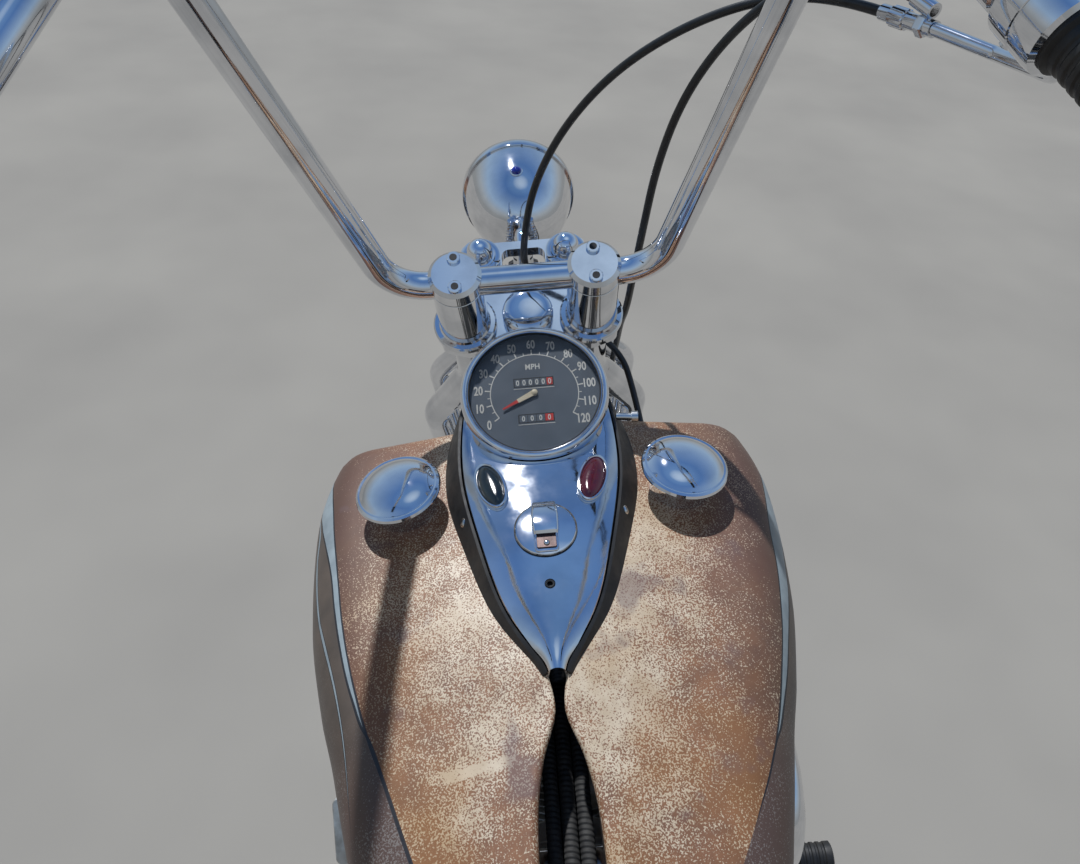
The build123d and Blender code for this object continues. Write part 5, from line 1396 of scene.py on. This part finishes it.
def make_drive():
    """The drive chain, link by link."""
    pitch = 15.875
    small, big = Vector((-300, 300)), Vector((-800, 325.49))
    small_r, big_r = 46.5, 118.5
    gap = big - small
    lean = math.acos((big_r - small_r) / gap.length)
    base = math.atan2(gap.y, gap.x)
    # round the large ring on its far side, then round the small ring on its own
    loop = arc_points(big, big_r, base + (math.pi - lean), base - (math.pi - lean))
    loop += arc_points(small, small_r, base - (math.pi - lean) + 2 * math.pi, base + (math.pi - lean))
    loop.append(loop[0])
    far = [0.0]
    for a, b in zip(loop, loop[1:]):
        far.append(far[-1] + (b - a).length)
    count = int(far[-1] / pitch / 2) * 2
    step = far[-1] / count

    def at_length(s):
        s %= far[-1]
        for i in range(len(far) - 1):
            if far[i + 1] >= s:
                t = (s - far[i]) / max(far[i + 1] - far[i], 1e-9)
                return loop[i].lerp(loop[i + 1], t)
        return loop[0]

    outer, inner = [], []
    for k in range(count):
        a, b = at_length(k * step), at_length((k + 1) * step)
        middle = (a + b) / 2
        spot = place(PARK, (middle.x, 84, middle.y), (0, 1, 0), (b.x - a.x, 0, b.y - a.y))
        (outer if k % 2 else inner).append(spot)
    ends = (-step / 2, step / 2)
    chain = Shape()
    chain.repeat(outer, chain_link((3.5, -4.9), ends, 2.4, 5, 8, step), finish="chain_steel")
    chain.repeat(inner, chain_link((2.0, -3.4), ends, 4.4, 2, 10, step), finish="chain_steel")
    dress("drive_chain_links", chain, ["chain_steel"], "frame", ["drive_chain"])


def make_exhausts():
    """The clamps, tips and flange nuts of the exhaust pipes."""
    paint("exhaust_front", "pipe_chrome")
    paint("exhaust_rear", "pipe_chrome")
    trim = Shape()
    for tail, y, z in ((-860, -165, 190), (-900, -168, 250)):
        start = place(PARK, (tail + 420, y, z), (1, 0, 0))
        trim.lathe(start, [(22.4, 0), (28.6, 0), (28.8, -6), (29.4, -8), (29.4, -12), (28.4, -13), (28.4, -16),
                           (28.2, -16), (22.4, 3)], 0, 48, closed=True)
        trim.lathe(start, [(22.3, -1), (26, 4), (26, 20), (24.8, 22), (22.3, 22)], 0, 48, closed=True)
        trim.prism(shift(start, 0, 30, 12), box_outline(9, 16, 3), -5, 5, 0, 1)
        end = place(PARK, (tail, y, z), (-1, 0, 0))
        trim.lathe(end, [(22.1, -3), (22.1, 0.6), (24, 2.2), (27, 2.0), (28.6, 0), (28.6, -4), (28.1, -5), (28.1, -3)],
                   0, 48, closed=True)
    for side in (1, -1):
        nuts = [shift(port_frame(side), x, 0, 0) for x in (-33, 33)]
        trim.repeat(nuts, hex_bolt(10, 7, 1.5))
    dress("exhaust_clamps", trim, ["chrome"], "frame")


# Saddle and rear


def saddle_rows(inset_by):
    """Outlines across the saddle from front to rear, moved inward by inset_by."""
    sides = 48
    rows = []
    for x, half, low, high in SADDLE_SECTIONS:
        middle = (low + high) / 2
        ring = []
        for k in range(sides):
            a = 2 * math.pi * k / sides
            c, s = math.cos(a), math.sin(a)
            wide = (half - inset_by) * math.copysign(abs(c) ** 0.86, c)
            tall = ((high if s > 0 else low) - middle) * abs(s) ** 0.9 - inset_by * 0.6 * s
            ring.append(Vector((x, wide, middle + tall)))
        rows.append(ring)
    places = [section[0] for section in SADDLE_SECTIONS]
    rows = smooth_rows(rows, places, spaced(places[0], places[-1], 40))
    inward = Vector((inset_by, 0, 0))
    out = end_rows(rows[0], ((0.35, 5 - inset_by), (0.75, 3.5 - inset_by)))
    out += [[p - inward for p in rows[0]]] + rows[1:-1] + [[p + inward for p in rows[-1]]]
    return out + end_rows(rows[-1], ((0.8, -4 + inset_by), (0.4, -6 + inset_by)))


def make_saddle(sizes):
    """The padded saddle with its piping, and its springs."""
    pad = Shape()
    pad.rings([[PARK @ p for p in row] for row in saddle_rows(3.0)])
    obj = new_object("saddle_pad", pad.mesh("saddle_pad", 80))
    puff(obj, voxel=0.005, pressure=sizes.saddle_puff, cap=5.0)
    sub = obj.modifiers.new("Smooth", "SUBSURF")
    sub.levels = sub.render_levels = 1
    bake(obj)
    obj.data.polygons.foreach_set("use_smooth", [True] * len(obj.data.polygons))
    obj.data.materials.clear()
    obj.data.materials.append(look("saddle_leather"))
    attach(obj, "frame")
    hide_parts("saddle")
    rows = saddle_rows(1.0)[2:-2]
    seam = Shape()
    for corner in (2, 22):
        seam.tube(PARK, [row[corner] for row in rows], 3.4, 0, steps=10)
    dress("saddle_piping", seam, ["saddle_leather"], "frame")
    paint("saddle_pan", "enamel")
    springs = Shape()
    for side in (1, -1):
        at = shift(PARK, -470, side * 88, 0)
        springs.add_coil(shift(at, 0, 0, 572), 6, 0.0235, 0.158, 0.0042)
        for height in (566, 730):
            springs.lathe(at, [(0, height), (26, height), (26, height + 5), (0, height + 5)], 0, 36)
        springs.tube(PARK, [(-470, side * 88, 568), (-470, side * 88, 734)], 6, 0, steps=16)
    dress("saddle_springs", springs, ["chrome"], "frame")


def bake(obj):
    """Gives the object the plain mesh that its modifiers make."""
    bpy.context.view_layer.update()
    made = bpy.data.meshes.new_from_object(obj.evaluated_get(bpy.context.evaluated_depsgraph_get()))
    obj.modifiers.clear()
    obj.data = made


def puff(obj, voxel, pressure, cap):
    """Blows a pad up as stuffed cloth, holding every point within cap millimetres of where it was."""
    remesh = obj.modifiers.new("Remesh", "REMESH")
    remesh.mode = "VOXEL"
    remesh.voxel_size = voxel
    bake(obj)
    before = [v.co.copy() for v in obj.data.vertices]
    cloth = obj.modifiers.new("Cloth", "CLOTH")
    cloth.settings.use_pressure = True
    cloth.settings.uniform_pressure_force = pressure
    cloth.settings.effector_weights.gravity = 0.0
    cloth.settings.quality = 5
    cloth.point_cache.frame_start, cloth.point_cache.frame_end = 1, 20
    for number in range(1, 21):
        bpy.context.scene.frame_set(number)
    bake(obj)
    bpy.context.scene.frame_set(1)
    for vert, old in zip(obj.data.vertices, before):
        moved = vert.co - old
        if moved.length > cap * MM:
            vert.co = old + moved.normalized() * cap * MM


def make_rear():
    """The tail lamp, the trim of the oil tank and the rear nuts."""
    paint("rear_fender", "enamel")
    paint("oil_tank", "enamel")
    trim = Shape()
    cap = shift(PARK, -310, 74, 588)
    trim.lathe(cap, [(0, -2), (24, -2), (24.6, 0), (24.6, 6), (22, 9), (10, 11), (0, 11.4)], 0, 48)
    tank = shift(PARK, -342, 0, 0)
    inner, band = box_outline(139.2, 235.2, 35.6, 8), box_outline(141.2, 237.2, 36.6, 8)
    for z in (440, 540):
        levels = ((inner, z), (band, z), (band, z + 14), (inner, z + 14))
        trim.rings([lift(tank, ring, height) for ring, height in levels], 0, closed=True)
    around, fender_r = math.radians(146), 356
    spot = Vector((REAR_AXLE[0] + fender_r * math.cos(around), 0, REAR_AXLE[2] + fender_r * math.sin(around)))
    at = place(PARK, spot, (-1, 0, 0.1), (0, 1, 0))
    trim.lathe(at, [(0, -6), (34, -6), (38, 0), (38, 30), (36.4, 33), (33.5, 34), (33, 31), (0, 31)], 0, 64)
    trim.lathe(at, [(0, 31.4), (32.8, 31.4), (32.8, 37), (30, 40.6), (22, 43), (10, 43.9), (0, 44)], 1, 64)
    for turn in (-25, 25):
        trim.repeat([shift(spin(at, turn), 0, 35.4, 33.6)], round_screw(2.6, 1.6))
    trim.prism(shift(at, 0, 0, -14), box_outline(44, 50, 6, 4), -12, 12, 0, 2)
    dress("tail_lamp_glass", trim, ["chrome", "red_lens"], "frame", ["tail_lamp"])
    nuts = Shape()
    for x, y, z, bolt, finish_name in ((REAR_AXLE[0], 133.2, REAR_AXLE[2], (30, 12, 3), "steel"),
                                       (-830, 143, 337.5, (13, 6, 2), "chrome")):
        spots = [place(PARK, (x, side * y, z), (0, side, 0)) for side in (1, -1)]
        nuts.repeat(spots, hex_bolt(*bolt), finish=finish_name)
    dress("rear_nuts", nuts, ["steel"], "frame")
    paint("rear_axle", "steel")


# Frame and foot controls


def ribbed_pad(shape, at, size, ribs, mat):
    """A rubber pad lying in the frame's XY plane with ribs across it."""
    shape.prism(at, box_outline(size[0], size[1], 5, 4), -size[2] / 2, size[2] / 2 - 2.5, mat, 1.5)
    pitch = size[0] / ribs
    rib = Shape()
    rib.prism(LOOSE, box_outline(pitch * 0.55, size[1] - 5, 1.4, 2), 0, 3.0, 0, 0.7)
    spots = [shift(at, -size[0] / 2 + pitch * (k + 0.5), 0, size[2] / 2 - 3) for k in range(ribs)]
    shape.repeat(spots, rib, mat, "black_rubber")


def add_loom(loom):
    """Three sleeves side by side on the backbone, which falls to the rear, with a UV map along and round each."""
    front_x, front_z, rear_x, rear_z = 250.0, 792.0, -245.0, 712.0
    fall = (front_z - rear_z) / (front_x - rear_x)
    backbone_r, sleeve_r, clear = 17, 5.5, 0.3
    to_upright = PARK.inverted()
    layer = loom.bm.loops.layers.uv.new("Wrap")
    for lane in (-11.5, 0, 11.5):
        rise = math.sqrt((backbone_r + sleeve_r + clear) ** 2 - lane ** 2) * 1.013
        points = [(x, lane, front_z + (x - front_x) * fall + rise) for x in spaced(90, -225, 24)]
        first = len(loom.bm.faces)
        loom.tube(PARK, points, sleeve_r, 0, steps=16)
        loom.bm.faces.ensure_lookup_table()
        for face in loom.bm.faces[first:]:
            for loop in face.loops:
                local = to_upright @ loop.vert.co
                height = local.z - (front_z + (local.x - front_x) * fall + rise)
                loop[layer].uv = (local.x / 100.0, math.atan2(height, local.y - lane) / (2 * math.pi))


def make_frame():
    """The peg rubbers, both pedals and the wiring, and the finishes of the frame."""
    paint("frame_tubes", "enamel")
    paint("side_stand", "enamel")
    paint("hand_shift", "chrome")
    paint("foot_pegs", "chrome")
    paint("kick_lever", "chrome")
    pegs = Shape()
    peg = [(14, 0), (18.5, 0), (18.5, 5)] + grooves(8.0, 116, 8.0, 18.3, 17.2, 1.2, 4.6)
    peg += [(18.5, 119), (18.5, 124), (16, 125.5), (14, 125.5)]
    for side in (1, -1):
        at = place(PARK, (122, side * 194, 244.1), (-4, side * 124, 4), (1, 0, 0))
        pegs.lathe(at, peg, 0, 36, closed=True)
    kick = [(12, 0), (14.5, 0), (14.5, 4)] + grooves(6.0, 64, 7.0, 14.4, 13.4, 1, 4)
    kick += [(14.5, 68), (14.5, 71), (0, 71.4), (0, 0)]
    pegs.lathe(place(PARK, (-328, -191, 558), (0, -1, 0), (1, 0, 0)), kick, 0, 28)
    dress("peg_rubbers", pegs, ["black_rubber"], "frame")
    right = Shape()
    right.tube(PARK, [(46, -131.5, 152), (46, -119.4, 152)], 14, 0, steps=32)
    right.tube(PARK, [(46, -136, 152), (120, -228, 168), (196, -262, 226)], 8, 0, bend=30, steps=20)
    pad = seat((204, -262, 246), 0, -48)
    right.prism(pad, box_outline(58, 80, 5, 4), -7, -3, 0, 1)
    ribbed_pad(right, shift(pad, 0, 0, 2), (62, 84, 10), 7, 1)
    dress("brake_pedal_pad", right, ["chrome", "black_rubber"], "frame", ["brake_pedal"])
    left = Shape()
    left.tube(PARK, [(46, 119.4, 152), (46, 143, 152)], 14, 0, steps=32)
    left.tube(PARK, [(46, 136, 152), (110, 236, 162), (190, 262, 226)], 8, 0, bend=30, steps=20)
    left.prism(seat((204, 266, 246), 0, -48), box_outline(86, 78, 9, 6), -5, 5, 1, 1.6)
    dress("clutch_pedal_plate", left, ["chrome", "pad_plate"], "frame", ["clutch_pedal"])
    loom = Shape()
    add_loom(loom)
    dress("wiring_braid", loom, ["braided_sleeve"], "frame", ["wiring_loom"])


# Stage


# The camera on the upright machine: its place, its right, up and backward axes, and its lens in mm
EYE = (-379.077, 1.336, 1390.687)
EYE_AXES = ((-0.055156, -0.996761, -0.058519), (0.643740, -0.080300, 0.761020), (-0.763254, 0.004304, 0.646084))
EYE_LENS = 30.2378
SUN_FROM = (0.6, 0.27, 0.97)


def make_world(sky):
    """A backdrop that the camera and the plating see, and an even light of strength sky for all the rest."""
    world = bpy.data.worlds.new("studio")
    bpy.context.scene.world = world
    world.use_nodes = True
    tree = world.node_tree
    tree.nodes.clear()
    coords = add_node(tree, "ShaderNodeTexCoord")
    axes = add_node(tree, "ShaderNodeSeparateXYZ", {0: coords.outputs["Generated"]})
    # pale at eye level, a deeper blue above it and paler again overhead
    ramp = add_node(tree, "ShaderNodeValToRGB", {"Fac": axes.outputs["Z"]})
    stops = ramp.color_ramp.elements
    stops[0].color = srgb(146, 149, 150)
    stops[1].color = srgb(182, 204, 230)
    for height, tone in ((0.16, srgb(162, 170, 176)), (0.4, srgb(152, 178, 206)), (0.86, srgb(86, 124, 180)),
                         (0.96, srgb(104, 142, 192))):
        stops.new(height).color = tone
    seen = add_node(tree, "ShaderNodeBackground", {"Color": ramp.outputs["Color"], "Strength": 1.0})
    light = add_node(tree, "ShaderNodeBackground", {"Color": (0.86, 0.92, 1.0, 1.0), "Strength": sky})
    ray = add_node(tree, "ShaderNodeLightPath").outputs
    seen_by = add_node(tree, "ShaderNodeMath", {0: ray["Is Camera Ray"], 1: ray["Is Glossy Ray"]}, operation="MAXIMUM")
    seen_by = add_node(tree, "ShaderNodeMath", {0: seen_by.outputs[0], 1: ray["Is Transmission Ray"]},
                       operation="MAXIMUM")
    mix = add_node(tree, "ShaderNodeMixShader", {0: seen_by.outputs[0], 1: light.outputs[0], 2: seen.outputs[0]})
    add_node(tree, "ShaderNodeOutputWorld", {"Surface": mix.outputs[0]})


def make_stage(stage):
    """The floor, the lights and the camera."""
    scene = bpy.context.scene
    scene.view_settings.view_transform = "Standard"
    shape = Shape()
    shape.rings([[Vector((x, y, z)) for x, y in ((-9, -9), (9, -9), (9, 9), (-9, 9))] for z in (-0.02, 0.0)])
    mesh = shape.mesh("floor")
    floor = new_object("floor", mesh)
    n = Nodes("floor_paint")
    tone = n.mix(n.range(n.noise(1.4, 3.0), 0.3, 0.7), srgb(172, 171, 168), srgb(160, 159, 157))
    n.set(Base_Color=tone, Roughness=0.95, Specular_IOR_Level=0.1)
    mesh.materials.append(n.material)
    make_world(stage.sky)
    sun = bpy.data.lights.new("sun", "SUN")
    sun.energy = stage.sun
    sun.angle = math.radians(stage.softness)
    lamp = new_object("sun", sun)
    lamp.rotation_mode = "QUATERNION"
    lamp.rotation_quaternion = Vector(SUN_FROM).to_track_quat("Z", "Y")
    view = bpy.data.cameras.new("view")
    view.sensor_width = 36.0
    view.lens = EYE_LENS
    view.clip_start = 0.05
    eye = new_object("view", view)
    upright = Matrix(EYE_AXES).transposed().to_4x4()
    eye.matrix_world = Matrix.Translation(PARK @ Vector(EYE)) @ Matrix.Rotation(-LEAN, 4, "X") @ upright
    scene.camera = eye


# The add-on


class ChopperSizes(bpy.types.PropertyGroup):
    """Sizes of the dressed parts."""
    cable: bpy.props.FloatProperty(name="Cable radius", description="Radius of the control cables", default=0.0035,
                                   min=0.002, max=0.006, unit="LENGTH")
    saddle_puff: bpy.props.FloatProperty(name="Saddle fill", description="Pressure that fills the saddle pad",
                                         default=4.0, min=0.0, max=10.0)


class ChopperColours(bpy.types.PropertyGroup):
    """Colours of the plated and enamelled parts."""
    chrome: bpy.props.FloatVectorProperty(name="Chrome", description="Colour of the bright plating", size=3,
                                          default=srgb(226, 227, 230)[:3], min=0.0, max=1.0, subtype="COLOR")
    enamel: bpy.props.FloatVectorProperty(name="Enamel", description="Colour of the frame enamel", size=3,
                                          default=srgb(16, 16, 18)[:3], min=0.0, max=1.0, subtype="COLOR")


class ChopperStage(bpy.types.PropertyGroup):
    """Strength of the studio lights."""
    sky: bpy.props.FloatProperty(name="Sky", description="Strength of the even light", default=0.17, min=0.0, max=3.0)
    sun: bpy.props.FloatProperty(name="Sun", description="Strength of the sun", default=2.92, min=0.0, max=10.0)
    softness: bpy.props.FloatProperty(name="Softness", description="Apparent size of the sun, in degrees", default=1.2,
                                      min=0.1, max=60.0)


class CHOPPER_OT_finishes(bpy.types.Operator):
    """Make the finishes of paint, plating, rubber and leather"""
    bl_idname = "chopper.finishes"
    bl_label = "Finishes"

    def execute(self, context):
        make_finishes(context.scene.chopper_colours)
        return {"FINISHED"}


class CHOPPER_OT_stage(bpy.types.Operator):
    """Set up the floor, the lights and the camera"""
    bl_idname = "chopper.stage"
    bl_label = "Stage and camera"

    def execute(self, context):
        make_stage(context.scene.chopper_stage)
        return {"FINISHED"}


class CHOPPER_OT_cables(bpy.types.Operator):
    """Lay the brake and throttle cables"""
    bl_idname = "chopper.cables"
    bl_label = "Cables"

    def execute(self, context):
        make_cables(context.scene.chopper_sizes)
        return {"FINISHED"}


class CHOPPER_OT_tanks(bpy.types.Operator):
    """Build the two fuel tanks and their caps"""
    bl_idname = "chopper.tanks"
    bl_label = "Fuel tanks"

    def execute(self, context):
        make_tanks()
        return {"FINISHED"}


class CHOPPER_OT_instrument(bpy.types.Operator):
    """Build the speed dial with its figures, windows and needle"""
    bl_idname = "chopper.instrument"
    bl_label = "Speed dial"

    def execute(self, context):
        make_instrument()
        return {"FINISHED"}


class CHOPPER_OT_dash(bpy.types.Operator):
    """Build the warning lamps and the switch on the dash"""
    bl_idname = "chopper.dash"
    bl_label = "Dash"

    def execute(self, context):
        make_dash()
        return {"FINISHED"}


class CHOPPER_OT_bars(bpy.types.Operator):
    """Build the handlebar, risers, grips and lever"""
    bl_idname = "chopper.bars"
    bl_label = "Handlebar"

    def execute(self, context):
        make_bars()
        return {"FINISHED"}


class CHOPPER_OT_lamp(bpy.types.Operator):
    """Build the headlamp"""
    bl_idname = "chopper.lamp"
    bl_label = "Headlamp"

    def execute(self, context):
        make_lamp()
        return {"FINISHED"}


class CHOPPER_OT_fork(bpy.types.Operator):
    """Build the coils, rods and nuts of the spring fork"""
    bl_idname = "chopper.fork"
    bl_label = "Spring fork"

    def execute(self, context):
        make_fork()
        return {"FINISHED"}


class CHOPPER_OT_wheels(bpy.types.Operator):
    """Lace the wheels and tread the tyres"""
    bl_idname = "chopper.wheels"
    bl_label = "Wheels"

    def execute(self, context):
        make_wheels()
        return {"FINISHED"}


class CHOPPER_OT_engine(bpy.types.Operator):
    """Build the finned banks, covers and screws of the engine"""
    bl_idname = "chopper.engine"
    bl_label = "Engine"

    def execute(self, context):
        make_engine()
        return {"FINISHED"}


class CHOPPER_OT_drive(bpy.types.Operator):
    """Link the drive chain"""
    bl_idname = "chopper.drive"
    bl_label = "Drive chain"

    def execute(self, context):
        make_drive()
        return {"FINISHED"}


class CHOPPER_OT_exhausts(bpy.types.Operator):
    """Finish the exhaust pipes with their clamps and ends"""
    bl_idname = "chopper.exhausts"
    bl_label = "Exhausts"

    def execute(self, context):
        make_exhausts()
        return {"FINISHED"}


class CHOPPER_OT_saddle(bpy.types.Operator):
    """Stuff the saddle and set it on its springs"""
    bl_idname = "chopper.saddle"
    bl_label = "Saddle"

    def execute(self, context):
        make_saddle(context.scene.chopper_sizes)
        return {"FINISHED"}


class CHOPPER_OT_rear(bpy.types.Operator):
    """Finish the rear fender, oil tank and tail lamp"""
    bl_idname = "chopper.rear"
    bl_label = "Rear end"

    def execute(self, context):
        make_rear()
        return {"FINISHED"}


class CHOPPER_OT_frame(bpy.types.Operator):
    """Finish the frame, foot controls and wiring"""
    bl_idname = "chopper.frame"
    bl_label = "Frame and foot controls"

    def execute(self, context):
        make_frame()
        return {"FINISHED"}


OPERATORS = (CHOPPER_OT_finishes, CHOPPER_OT_stage, CHOPPER_OT_cables, CHOPPER_OT_tanks, CHOPPER_OT_instrument,
             CHOPPER_OT_dash, CHOPPER_OT_bars, CHOPPER_OT_lamp, CHOPPER_OT_fork, CHOPPER_OT_wheels, CHOPPER_OT_engine,
             CHOPPER_OT_drive, CHOPPER_OT_exhausts, CHOPPER_OT_saddle, CHOPPER_OT_rear, CHOPPER_OT_frame)


class CHOPPER_PT_panel(bpy.types.Panel):
    """Lists the steps that dress the motorcycle"""
    bl_label = "Chopper"
    bl_idname = "CHOPPER_PT_panel"
    bl_space_type = "VIEW_3D"
    bl_region_type = "UI"
    bl_category = "Chopper"

    def draw(self, context):
        column = self.layout.column()
        for step in OPERATORS:
            column.operator(step.bl_idname)
        for group in (context.scene.chopper_sizes, context.scene.chopper_colours, context.scene.chopper_stage):
            for name in group.__annotations__:
                column.prop(group, name)


CLASSES = (ChopperSizes, ChopperColours, ChopperStage) + OPERATORS + (CHOPPER_PT_panel,)


def register():
    for item in CLASSES:
        bpy.utils.register_class(item)
    bpy.types.Scene.chopper_sizes = bpy.props.PointerProperty(type=ChopperSizes)
    bpy.types.Scene.chopper_colours = bpy.props.PointerProperty(type=ChopperColours)
    bpy.types.Scene.chopper_stage = bpy.props.PointerProperty(type=ChopperStage)


def unregister():
    del bpy.types.Scene.chopper_stage
    del bpy.types.Scene.chopper_colours
    del bpy.types.Scene.chopper_sizes
    for item in reversed(CLASSES):
        bpy.utils.unregister_class(item)


def main():
    register()
    bpy.ops.chopper.finishes()
    bpy.ops.chopper.stage()
    bpy.ops.chopper.cables()
    bpy.ops.chopper.tanks()
    bpy.ops.chopper.instrument()
    bpy.ops.chopper.dash()
    bpy.ops.chopper.bars()
    bpy.ops.chopper.lamp()
    bpy.ops.chopper.fork()
    bpy.ops.chopper.wheels()
    bpy.ops.chopper.engine()
    bpy.ops.chopper.drive()
    bpy.ops.chopper.exhausts()
    bpy.ops.chopper.saddle()
    bpy.ops.chopper.rear()
    bpy.ops.chopper.frame()


if __name__ == "__main__":
    main()
